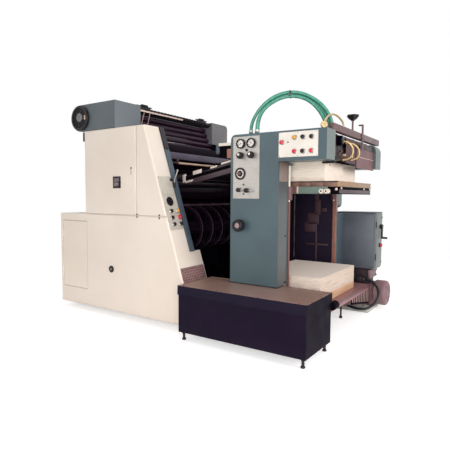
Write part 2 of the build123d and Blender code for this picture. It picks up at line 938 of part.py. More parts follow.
def make_lift_carriage():
    inner = board_start + beam_offset
    carriage = []
    for side in (lambda part: part, far_side):
        beam = block(pile_board_left + 2 * carriage_bar_width, pile_board_end - carriage_bar_width,
                     inner, inner + carriage_beam_width, carriage_low, carriage_top)
        shoe = rod_z(post_x, post_y, shoe_radius, carriage_top - shoe_height, carriage_top)
        link = block(post_x - carriage_beam_width / 2, post_x + carriage_beam_width / 2, post_y, inner,
                     carriage_low, carriage_top)
        plate_y = post_y + shoe_radius
        plate_end = post_x + carriage_plate_length
        plate = block(post_x, plate_end, plate_y, plate_y + carriage_plate, carriage_low, carriage_top)
        rollers = [
            rod_y(x, carriage_low + carriage_roller_radius, carriage_roller_radius,
                  plate_y - carriage_roller_width / 2, plate_y + carriage_roller_width / 2)
            for x in (plate_end, plate_end - carriage_roller_pitch)
        ]
        arm = beam + shoe + link + plate + rollers
        arm -= rod_z(post_x, post_y, post_radius + shoe_clearance, carriage_top - shoe_height, carriage_top)
        carriage.append(side(arm))
    bars = [
        block(x - carriage_bar_width, x, inner, unit_width - inner, carriage_low, carriage_top)
        for x in (pile_board_left + 2 * carriage_bar_width, pile_board_end)
    ]
    return carriage[0] + carriage[1] + bars


def make_pile(left, right, width, low, high):
    return block(left, right, centre_y - width / 2, centre_y + width / 2, low, high)


# Panels on the front of the feeder
def front_disc(x, z, radius, depth, base):
    return rod_y(x, z, radius, base - depth, base)


def make_gauge_panel():
    return block(gauge_panel_left, gauge_panel_right, column_front - plate_thickness, column_front,
                 gauge_panel_bottom, gauge_panel_top)


def make_gauge_panel_controls():
    base = column_front - plate_thickness
    width = gauge_panel_right - gauge_panel_left
    first = gauge_panel_left + width * 0.28
    second = gauge_panel_left + width * 0.68
    top_row = gauge_panel_top - gauge_radius - 2 * plate_thickness
    knob_row = top_row - 2.5 * gauge_radius
    dial_row = knob_row - 3.2 * gauge_dial_radius
    controls = [front_disc(x, top_row, gauge_radius, gauge_depth, base) for x in (first, second)]
    controls += [front_disc(x, knob_row, gauge_knob_radius, gauge_depth, base) for x in (first, second)]
    controls.append(front_disc(first, dial_row, gauge_dial_radius, gauge_depth / 2, base))
    valve_z = gauge_panel_bottom + 2 * gauge_radius
    valve = front_disc(first, valve_z, gauge_knob_radius, gauge_depth, base)
    valve += block(first, second, base - gauge_depth, base - gauge_depth / 2,
                   valve_z - gauge_knob_radius / 2, valve_z + gauge_knob_radius / 2)
    controls.append(valve)
    return controls


def make_column_knob():
    knob = front_disc(hand_knob_x, hand_knob_z, hand_knob_radius, hand_knob_depth, column_front)
    return fillet(outer_edges(knob, column_front - hand_knob_depth), hand_knob_depth / 4)


def make_button_panel():
    return block(button_panel_left, button_panel_right, column_front - plate_thickness, column_front,
                 button_panel_bottom, button_panel_top)


def make_panel_buttons():
    width = button_panel_right - button_panel_left
    height = button_panel_top - button_panel_bottom
    base = column_front - plate_thickness
    upper = button_panel_bottom + height * 0.76
    lower = button_panel_bottom + height * 0.22
    places = [(0.09, (upper + lower) / 2)]
    places += [(share, upper) for share in (0.42, 0.64, 0.85)]
    places += [(share, lower) for share in (0.42, 0.64, 0.85)]
    return [
        front_disc(button_panel_left + width * share, z, panel_button_radius, panel_button_height, base)
        for share, z in places
    ]


# Suction head
rail_top = feeder_top + head_rail_height
suction_beam_top = suction_beam_bottom + suction_beam_height


def hose_socket(point, low):
    # A plain ferrule that the end of a hose stands on.
    wall = hose_diameter / 2 + hose_socket_wall
    return rod_z(point[0], point[1], wall, low, low + hose_socket_height)


def make_head_rail():
    rail = block(head_rail_x, head_rail_x + head_rail_width, column_back - head_rail_overhang,
                 drive_front + head_rail_overhang, feeder_top, rail_top)
    x = head_rail_x + head_rail_width / 2
    knob_low = rail_top + head_stem_height
    knob_high = knob_low + 2 * head_knob_radius
    stem = rod_z(x, head_knob_y, head_stem_radius, rail_top, knob_low)
    knob = Pos(x, head_knob_y, knob_low) * Cone(head_knob_neck, head_knob_radius, head_knob_radius, align=(
        Align.CENTER, Align.CENTER, Align.MIN))
    knob += rod_z(x, head_knob_y, head_knob_radius, knob_low + head_knob_radius, knob_high)
    knob = fillet(knob.edges().sort_by(Axis.Z)[-1], head_knob_radius / 3)
    return rail + stem + knob + make_hanger()


def make_hanger():
    # Upright strap on the rail with a hooked top, which steadies the plate below.
    x0 = head_rail_x + head_rail_width
    y0 = centre_y + hanger_offset
    top = rail_top + hanger_rise
    strap = block(x0, x0 + hanger_thickness, y0, y0 + hanger_width, feeder_top - hanger_drop, top)
    hook = block(x0 - hanger_width, x0 + hanger_thickness, y0, y0 + hanger_width, top, top + hanger_thickness)
    return [strap, hook]


def make_suction_head():
    beam = block(suction_beam_x, suction_beam_front, column_back, drive_front, suction_beam_bottom, suction_beam_top)
    tip_low = upper_pile_top + sucker_lift
    x = suction_beam_x - sucker_reach
    for i in range(sucker_count):
        y = centre_y - sucker_spread / 2 + sucker_spread * i / (sucker_count - 1)
        beam += block(x - sucker_arm_width / 2, suction_beam_x, y - sucker_arm_width / 2, y + sucker_arm_width / 2,
                      suction_beam_bottom, suction_beam_bottom + sucker_arm_height)
        beam += rod_z(x, y, sucker_radius, tip_low + sucker_lift, suction_beam_bottom)
        beam += rod_z(x, y, sucker_tip_radius, tip_low, tip_low + sucker_lift)
    blower_y = centre_y - blower_offset
    blower = rod_x(blower_y, blower_height, blower_radius, suction_beam_front, suction_beam_front + blower_length)
    beam += fillet(blower.edges().sort_by(Axis.X)[-1], blower_radius / 4)
    for route in green_hose_routes:
        beam += hose_socket(route[-1], suction_beam_top)
    for route in cream_tube_routes:
        y, z = route[-1][1:]
        beam += block(suction_beam_front - valve_depth, suction_beam_front, y - valve_width / 2, y + valve_width / 2,
                      z - valve_width / 2, suction_beam_bottom)
    return beam


def make_rear_guard_plate():
    x = head_rail_x + head_rail_width / 2
    return block(x, x + guard_plate_thickness, guard_plate_start, drive_front, guard_plate_bottom, guard_plate_top)


# Hoses follow hand chosen points, with each bend as wide as its two runs allow
def tube_along(points, diameter, name):
    vectors = [Vector(*point) for point in points]
    radii = []
    for before, here, after in zip(vectors, vectors[1:], vectors[2:]):
        shorter = min((here - before).length, (after - here).length)
        turn = math.radians((here - before).get_angle(after - here))
        radii.append(0.45 * shorter / math.tan(turn / 2))
    path = FilletPolyline(*vectors, radius=radii)
    section = Plane(origin=path @ 0, z_dir=path % 0) * Circle(diameter / 2)
    tube = sweep(section, path=path)
    expected = math.pi * diameter ** 2 / 4 * path.length
    print(name, "length", round(path.length), "radii", [round(r) for r in radii],
          "volume share", round(tube.volume / expected, 4))
    return tube


green_hose_routes = [
    [
        (2180, 298, 1724), (2180, 298, 1768), (2198, 299, 1826), (2234, 304, 1886), (2280, 316, 1942),
        (2338, 336, 1992), (2404, 364, 2026), (2480, 397, 2043), (2562, 432, 2034), (2640, 464, 1998),
        (2708, 492, 1946), (2756, 512, 1886), (2788, 525, 1822), (2800, 531, 1760), (2800, 531, 1700),
    ],
    [
        (2240, 292, 1724), (2240, 292, 1768), (2248, 294, 1822), (2272, 302, 1878), (2312, 318, 1928),
        (2364, 342, 1968), (2426, 368, 1998), (2496, 396, 2009), (2564, 424, 1998), (2624, 448, 1970),
        (2674, 468, 1926), (2714, 484, 1872), (2744, 496, 1814), (2764, 502, 1758), (2764, 502, 1700),
    ],
    [
        (2222, 338, 1724), (2222, 338, 1768), (2228, 338, 1822), (2250, 340, 1880), (2290, 348, 1932),
        (2342, 366, 1978), (2404, 394, 2008), (2476, 424, 2022), (2550, 454, 2014), (2616, 482, 1984),
        (2676, 508, 1938), (2722, 528, 1882), (2754, 546, 1822), (2770, 562, 1762), (2770, 562, 1700),
    ],
]
cream_tube_routes = [
    [
        (2821, 640, 1650), (2880, 640, 1650), (2926, 658, 1606), (2926, 684, 1544), (2880, 702, 1500),
        (2821, 702, 1500),
    ],
    [
        (2821, 790, 1646), (2882, 790, 1646), (2930, 812, 1604), (2928, 846, 1546), (2880, 866, 1508),
        (2821, 866, 1508),
    ],
]
pump_hose_route = [
    (pump_inlet_x + x, pump_inlet_y + y, pump_inlet_z + z)
    for x, y, z in (
        (-235, -175, -240), (-183, -175, -240), (-128, -181, -248), (-70, -193, -263), (-8, -203, -273),
        (58, -205, -274), (115, -193, -258), (161, -169, -226), (191, -138, -185),
        (201, -103, -137), (191, -67, -89), (161, -36, -48), (115, -13, -17), (58, 0, 0), (0, 0, 0),
    )
]


# Footboard with its top plate
def make_footboard():
    lid_low = footboard_top_height - footboard_lid
    step = footboard_step
    body = block(footboard_left, footboard_right, footboard_front, footboard_back, lid_low, footboard_top_height)
    body += block(footboard_left + step, footboard_right - step, footboard_front + step, footboard_back - step,
                  footboard_bottom, lid_low)
    recess = block(footboard_left + footboard_rim, footboard_right - footboard_rim,
                   footboard_front + footboard_rim, footboard_back - footboard_rim,
                   footboard_top_height - footboard_plate, footboard_top_height)
    notch = block(column_left, column_right, column_front, footboard_back, footboard_bottom, footboard_top_height)
    return body - recess - notch


def make_footboard_plate():
    plate = block(footboard_left + footboard_rim, footboard_right - footboard_rim,
                  footboard_front + footboard_rim, footboard_back - footboard_rim,
                  footboard_top_height - footboard_plate, footboard_top_height)
    return plate - block(column_left, column_right, column_front, footboard_back, footboard_bottom,
                         footboard_top_height)


# Electrical cabinet on two brackets from the drive side post
def make_electrical_cabinet():
    body = block(cabinet_left, cabinet_right, cabinet_front, cabinet_back, cabinet_bottom, cabinet_top)
    body = fillet(body.edges().filter_by(Axis.Z), cover_round)
    brackets = [
        block(cabinet_left + cover_round, column_right, drive_front + drive_post_depth, cabinet_front,
              z, z + cabinet_bracket_height)
        for z in (cabinet_bottom + cabinet_bracket_height, cabinet_top - 2 * cabinet_bracket_height)
    ]
    return body + brackets


def make_switch_handle():
    start = cabinet_right + switch_clearance
    hub = rod_x(switch_y, switch_z, switch_hub_radius, start, start + switch_hub_length)
    lever = block(start + switch_hub_length - switch_lever_thickness, start + switch_hub_length,
                  switch_y - switch_lever_width / 2, switch_y + switch_lever_width / 2,
                  switch_z - switch_lever_length, switch_z)
    grip = rod_x(switch_y, switch_z - switch_lever_length, switch_lever_width / 2,
                 start + switch_hub_length - switch_lever_thickness, start + 2.4 * switch_hub_length)
    return hub + lever + grip


# Air pump: a finned motor with a fan cowl at the outer end, a valve box on top and an inlet for the hose
def make_air_pump():
    y = pump_y
    cowl_start = press_end - pump_cowl_length
    box_end = pump_start + pump_box_length
    pump = rod_x(y, pump_axis_z, pump_radius, pump_start, cowl_start)
    cowl = rod_x(y, pump_axis_z, pump_cowl_radius, cowl_start, press_end)
    cowl = fillet(cowl.edges().filter_by_position(Axis.X, press_end - 0.01, press_end + 0.01), pump_cowl_length / 4)
    pump += cowl
    span = cowl_start - pump_start
    for i in range(pump_fin_count):
        x = pump_start + span * (i + 0.5) / pump_fin_count
        pump += rod_x(y, pump_axis_z, pump_radius + pump_fin_height, x, x + pump_fin_height / 2)
    foot = block(pump_start + pump_foot_width / 4, cowl_start, y - pump_foot_width / 2, y + pump_foot_width / 2,
                 0, pump_axis_z)
    base = block(pump_start - pump_base_height, cowl_start, drive_front + drive_post_depth, y + pump_foot_width / 2,
                 0, pump_base_height)
    box = block(pump_start, box_end, y - pump_box_width / 2, y + pump_box_width / 2, pump_axis_z, pump_box_top)
    box = fillet(box.edges().filter_by(Axis.Z), cover_round)
    flange = block(box_end, box_end + pump_flange, y - pump_cowl_radius * 0.9, y + pump_cowl_radius * 0.9,
                   pump_box_top - pump_box_width / 2, pump_box_top)
    inlet = block(pump_inlet_x - pump_inlet_width, pump_inlet_x, pump_inlet_y - pump_inlet_width / 2, y,
                  pump_inlet_z - pump_inlet_width / 2, pump_inlet_z + pump_inlet_width / 2)
    return pump + foot + base + box + flange + inlet


nodes["unit_bed"] = make_unit_bed()
nodes["levelling_feet"] = make_levelling_feet()
nodes["side_frame_operator"] = make_side_frame()
nodes["side_frame_drive"] = far_side(make_side_frame())
nodes["lower_cover_operator"] = [cut_door_opening(make_lower_cover()) + make_cover_hinges()]
nodes["lower_cover_drive"] = far_side(make_lower_cover())
nodes["upper_cover_operator"] = make_upper_cover(tall_cover_start, seam_points)
nodes["front_cover_operator"] = make_upper_cover(front_seam + seam_gap, front_points)
nodes["upper_cover_drive"] = far_side(make_upper_cover(tall_cover_start, front_points))
nodes["access_door"] = make_access_door()
nodes["ink_cover_operator"] = make_ink_cover(ink_edge_round)
nodes["ink_cover_drive"] = far_side(make_ink_cover(ink_cover_round))
nodes["ink_motor"] = make_ink_motor()
nodes["unit_control_panel"] = make_unit_control_panel()
nodes["unit_panel_controls"] = make_unit_panel_controls()
nodes["kick_plate"] = make_kick_plate()
nodes["ink_fountain"] = make_ink_fountain()
for number, centre in enumerate(roller_centres, 1):
    nodes[f"ink_roller_{number}"] = make_ink_roller(centre)
nodes["plate_cylinder"] = make_cylinder(plate_centre, 150)
nodes["blanket_cylinder"] = make_cylinder(blanket_centre, 200)
nodes["impression_cylinder"] = make_cylinder(impression_centre, 20)
nodes["transfer_drum"] = make_transfer_drum()
nodes["tie_bars"] = make_tie_bars()
nodes["feed_board"] = make_feed_board()
nodes["feed_tapes"] = make_feed_tapes()
nodes["delivery_board"] = make_delivery_board()
nodes["feeder_column_operator"] = make_feeder_column_operator()
nodes["feeder_arm_operator"] = make_feeder_arm_operator()
nodes["feeder_column_drive"] = make_feeder_column_drive()
nodes["feeder_arm_drive"] = make_feeder_arm_drive()
nodes["feeder_platform"] = make_feeder_platform()
nodes["guide_posts"] = [make_guide_post(), far_side(make_guide_post())]
nodes["lift_carriage"] = make_lift_carriage()
nodes["pile_board"] = block(pile_board_left, pile_board_end, board_start, board_end, carriage_top, pile_board_top)
nodes["paper_pile_upper"] = make_pile(pile_left, pile_right, upper_pile_width, pile_board_top, upper_pile_top)
nodes["lower_skid"] = make_pile(pile_left, pile_right, lower_pile_width, platform_top,
                                platform_top + lower_skid_height)
nodes["paper_pile_lower"] = make_pile(pile_left, pile_right, lower_pile_width, platform_top + lower_skid_height,
                                      lower_pile_top)
nodes["gauge_panel"] = make_gauge_panel()
nodes["gauge_panel_controls"] = make_gauge_panel_controls()
nodes["column_knob"] = make_column_knob()
nodes["button_panel"] = make_button_panel()
nodes["panel_buttons"] = make_panel_buttons()
nodes["head_rail"] = make_head_rail()
nodes["suction_head"] = make_suction_head()
nodes["rear_guard_plate"] = make_rear_guard_plate()
for number, route in enumerate(green_hose_routes, 1):
    nodes[f"green_hose_{number}"] = tube_along(route, hose_diameter, f"green hose {number}")
for number, route in enumerate(cream_tube_routes, 1):
    nodes[f"cream_tube_{number}"] = tube_along(route, tube_diameter, f"cream tube {number}")
nodes["pump_hose"] = tube_along(pump_hose_route, pump_hose_diameter, "pump hose")
nodes["footboard"] = make_footboard()
nodes["footboard_plate"] = make_footboard_plate()
nodes["electrical_cabinet"] = make_electrical_cabinet()
nodes["switch_handle"] = make_switch_handle()
nodes["air_pump"] = make_air_pump()

os.makedirs("parts", exist_ok=True)
to_origin = Pos(-origin_x, -origin_y, 0)
for name, shape in nodes.items():
    pieces = shape if isinstance(shape, list) else [shape]
    solids = [solid for piece in pieces for solid in (to_origin * piece).solids()]
    whole = Compound(children=solids) if len(solids) > 1 else solids[0]
    export_step(whole, f"parts/{name}.step")
print(len(nodes), "nodes")
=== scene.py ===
import bmesh
import bpy
import math
import numpy as np
from mathutils import Matrix, Vector


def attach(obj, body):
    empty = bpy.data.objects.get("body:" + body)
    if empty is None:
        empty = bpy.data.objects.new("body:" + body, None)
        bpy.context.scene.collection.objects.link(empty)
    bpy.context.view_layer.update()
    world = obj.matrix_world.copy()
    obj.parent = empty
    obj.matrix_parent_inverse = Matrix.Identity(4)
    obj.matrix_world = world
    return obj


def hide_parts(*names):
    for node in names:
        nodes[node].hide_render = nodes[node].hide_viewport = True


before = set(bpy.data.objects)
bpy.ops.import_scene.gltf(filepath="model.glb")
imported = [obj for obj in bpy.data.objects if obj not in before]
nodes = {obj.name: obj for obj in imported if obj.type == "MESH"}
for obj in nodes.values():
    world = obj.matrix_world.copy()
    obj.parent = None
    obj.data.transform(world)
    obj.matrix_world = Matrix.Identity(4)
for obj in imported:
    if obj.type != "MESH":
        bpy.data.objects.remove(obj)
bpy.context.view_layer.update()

print("frame loaded:", len(nodes), "pieces")

# the measured drawing has its corner at the delivery end of the operator cover, in mm
originMm = np.array([1475.0, 929.0, 0.0])
toOperator, toDrive, toFeeder, upright = (0, -1, 0), (0, 1, 0), (1, 0, 0), (0, 0, 1)
frameNear, frameFar = 251, 1669  # inner faces of the two side frames


def place(*mm):  # drawing millimetres to metres in the frame
    return tuple((np.array(mm, float) - originMm) / 1000)


# colour and node helpers

def toLinear(hexText):  # sRGB hex to linear light, channel by channel
    values = [int(hexText[i:i + 2], 16) / 255 for i in (1, 3, 5)]
    return tuple(v / 12.92 if v <= 0.04045 else ((v + 0.055) / 1.055) ** 2.4 for v in values) + (1.0,)


def addNode(tree, kind, inputs=None, **settings):
    node = tree.nodes.new(kind)
    for name, value in settings.items():
        setattr(node, name, value)
    for key, value in (inputs or {}).items():
        if isinstance(value, bpy.types.NodeSocket):
            tree.links.new(value, node.inputs[key])
        else:
            node.inputs[key].default_value = value
    return node


def newMaterial(name):  # an empty principled material and its object coordinates
    material = bpy.data.materials.new(name)
    material.use_nodes = True
    tree = material.node_tree
    tree.nodes.clear()
    shader = addNode(tree, "ShaderNodeBsdfPrincipled")
    addNode(tree, "ShaderNodeOutputMaterial", {"Surface": shader.outputs["BSDF"]})
    coords = addNode(tree, "ShaderNodeTexCoord").outputs["Object"]
    return material, tree, shader, coords


def perMm(size):  # pattern scale for a feature of that many millimetres
    return 1000 / size


def layered(tree, value, low, high, under, over, most=1.0):  # one colour over another where a value is high
    share = addNode(tree, "ShaderNodeMapRange", {
        "Value": value, "From Min": low, "From Max": high, "To Max": most}).outputs["Result"]
    mix = addNode(tree, "ShaderNodeMix", {0: share, 6: under, 7: toLinear(over)}, data_type="RGBA")
    return mix.outputs[2]


def surfaced(tree, shader, wander, span, rough, give, relief, reliefMm):  # wandering roughness, and relief
    level = addNode(tree, "ShaderNodeMapRange", {
        "Value": wander, "From Min": span[0], "From Max": span[1],
        "To Min": rough - give[0], "To Max": rough + give[1]})
    tree.links.new(level.outputs["Result"], shader.inputs["Roughness"])
    skin = addNode(tree, "ShaderNodeBump", {"Height": relief, "Distance": reliefMm / 1000})
    tree.links.new(skin.outputs["Normal"], shader.inputs["Normal"])


# sprayed enamel on sheet steel or castings: even colour, faint mottling, orange peel, dust near the floor,
# and on some a painted side tone standing in for light and shade
def enamel(name, look):
    material, tree, shader, coords = newMaterial(name)
    cloud = addNode(tree, "ShaderNodeTexNoise", {
        "Vector": coords, "Scale": perMm(look.get("mottleMm", 260)), "Detail": 4.0}).outputs["Fac"]
    paint = layered(tree, cloud, 0.35, 0.7, toLinear(look["colour"]), look["shade"])
    height = addNode(tree, "ShaderNodeSeparateXYZ", {"Vector": coords}).outputs["Z"]
    if "upper" in look:  # a second colour above a painted edge
        edge = look["upperFrom"]
        paint = layered(tree, height, edge - 0.01, edge + 0.01, paint, look["upper"])
    if "paintedSideShading" in look:  # painted light and shade: faces turned to the feeder end get a lighter or darker tone, standing in for how the lamps fall on that side
        normal = addNode(tree, "ShaderNodeNewGeometry").outputs["Normal"]
        along = addNode(tree, "ShaderNodeSeparateXYZ", {"Vector": normal}).outputs["X"]
        paint = layered(tree, along, 0.6, 0.9, paint, look["paintedSideShading"])
    if "dirt" in look:  # floor dust thrown up on the lowest part
        low = addNode(tree, "ShaderNodeMapRange", {
            "Value": height, "From Min": look["dirtTop"], "From Max": 0.0})
        dust = addNode(tree, "ShaderNodeTexNoise", {
            "Vector": coords, "Scale": perMm(60), "Detail": 6.0, "Roughness": 0.65})
        speck = addNode(tree, "ShaderNodeMapRange", {
            "Value": dust.outputs["Fac"], "From Min": 0.35, "From Max": 0.75})
        amount = addNode(tree, "ShaderNodeMath", {0: low.outputs["Result"], 1: speck.outputs["Result"]},
                         operation="MULTIPLY")
        paint = layered(tree, amount.outputs["Value"], 0.0, 1.0, paint, look["dirt"])
    tree.links.new(paint, shader.inputs["Base Color"])
    smear = addNode(tree, "ShaderNodeTexNoise", {"Vector": coords, "Scale": perMm(120), "Detail": 3.0})
    peel = addNode(tree, "ShaderNodeTexNoise", {  # real peel is 2 mm, drawn coarser so that it shows
        "Vector": coords, "Scale": perMm(7), "Detail": 1.0})
    surfaced(tree, shader, smear.outputs["Fac"], (0.3, 0.7), look["rough"], (0.05, 0.07),
             peel.outputs["Fac"], look.get("peelDepthMm", 0.25))
    shader.inputs["Specular IOR Level"].default_value = look.get("specular", 0.45)
    shader.inputs["Coat Weight"].default_value = look.get("coat", 0.0)
    shader.inputs["Coat Roughness"].default_value = 0.12
    return material


# ground or brushed metal: fine scratches along one direction break up the reflection, with dull stains
def brushedMetal(name, look):
    material, tree, shader, coords = newMaterial(name)
    drawn = addNode(tree, "ShaderNodeMapping", {"Vector": coords, "Scale": look["grain"]}).outputs["Vector"]
    grain = addNode(tree, "ShaderNodeTexNoise", {
        "Vector": drawn, "Scale": perMm(3), "Detail": 3.0, "Roughness": 0.6}).outputs["Fac"]
    metal = layered(tree, grain, 0.3, 0.7, toLinear(look["colour"]), look["shade"])
    cloud = addNode(tree, "ShaderNodeTexNoise", {
        "Vector": coords, "Scale": perMm(90), "Detail": 5.0, "Roughness": 0.6}).outputs["Fac"]
    metal = layered(tree, cloud, 0.5, 0.75, metal, look.get("stain", look["shade"]))
    tree.links.new(metal, shader.inputs["Base Color"])
    surfaced(tree, shader, grain, (0.25, 0.75), look["rough"], (0.06, 0.1), grain, 0.12)
    shader.inputs["Metallic"].default_value = look.get("metallic", 1.0)
    shader.inputs["Specular IOR Level"].default_value = look.get("specular", 0.5)
    return material


# moulded plastic or rubber: even colour with a fine matt grain
def moulded(name, look):
    material, tree, shader, coords = newMaterial(name)
    cloud = addNode(tree, "ShaderNodeTexNoise", {
        "Vector": coords, "Scale": perMm(look.get("mottleMm", 40)), "Detail": 3.0}).outputs["Fac"]
    resin = layered(tree, cloud, 0.35, 0.7, toLinear(look["colour"]), look["shade"])
    tree.links.new(resin, shader.inputs["Base Color"])
    grain = addNode(tree, "ShaderNodeTexNoise", {"Vector": coords, "Scale": perMm(2.5), "Detail": 1.0})
    surfaced(tree, shader, cloud, (0.3, 0.7), look["rough"], (0.04, 0.08), grain.outputs["Fac"], 0.08)
    shader.inputs["Specular IOR Level"].default_value = look.get("specular", 0.5)
    return material


# sawn or varnished timber: rings stretched along the grain, darker late wood
def timber(name, look):
    material, tree, shader, coords = newMaterial(name)
    along = addNode(tree, "ShaderNodeMapping", {
        "Vector": coords, "Scale": (1.0, 0.06, 1.0)}).outputs["Vector"]
    rings = addNode(tree, "ShaderNodeTexNoise", {
        "Vector": along, "Scale": perMm(look["ringMm"]), "Detail": 5.0, "Roughness": 0.55}).outputs["Fac"]
    fine = addNode(tree, "ShaderNodeTexNoise", {
        "Vector": along, "Scale": perMm(look["ringMm"] / 6), "Detail": 2.0, "Roughness": 0.6}).outputs["Fac"]
    wood = layered(tree, rings, 0.35, 0.65, toLinear(look["colour"]), look["shade"])
    wood = layered(tree, fine, 0.55, 0.75, wood, look["late"], 0.6)
    tree.links.new(wood, shader.inputs["Base Color"])
    surfaced(tree, shader, fine, (0.3, 0.7), look["rough"], (0.06, 0.08), fine, 0.4)
    return material


# stacked paper: pale sheets whose edges show as fine level lines, with a warmer tint between lifts, and
# painted light and shade on the faces turned up and to the feeder end
def paperStack(name, look):
    material, tree, shader, coords = newMaterial(name)
    level = addNode(tree, "ShaderNodeMapping", {
        "Vector": coords, "Scale": (0.02, 0.02, 1.0)}).outputs["Vector"]
    sheets = addNode(tree, "ShaderNodeTexNoise", {  # sheets are 0.1 mm, drawn as lifts that show
        "Vector": level, "Scale": perMm(4), "Detail": 2.0, "Roughness": 0.7}).outputs["Fac"]
    lifts = addNode(tree, "ShaderNodeTexNoise", {"Vector": level, "Scale": perMm(40), "Detail": 1.0})
    sheet = layered(tree, sheets, 0.4, 0.75, toLinear(look["colour"]), look["shade"])
    sheet = layered(tree, lifts.outputs["Fac"], 0.5, 0.8, sheet, look["lift"], 0.5)
    normal = addNode(tree, "ShaderNodeNewGeometry").outputs["Normal"]
    side = addNode(tree, "ShaderNodeSeparateXYZ", {"Vector": normal}).outputs
    # painted light and shade: faces turned up and faces turned to the feeder end get their own tones,
    # standing in for how the lamps fall on them
    sheet = layered(tree, side["Z"], 0.6, 0.9, sheet, look["top"])
    sheet = layered(tree, side["X"], 0.6, 0.9, sheet, look["end"], 0.6)
    tree.links.new(sheet, shader.inputs["Base Color"])
    shader.inputs["Roughness"].default_value = look["rough"]
    shader.inputs["Specular IOR Level"].default_value = 0.2
    return material


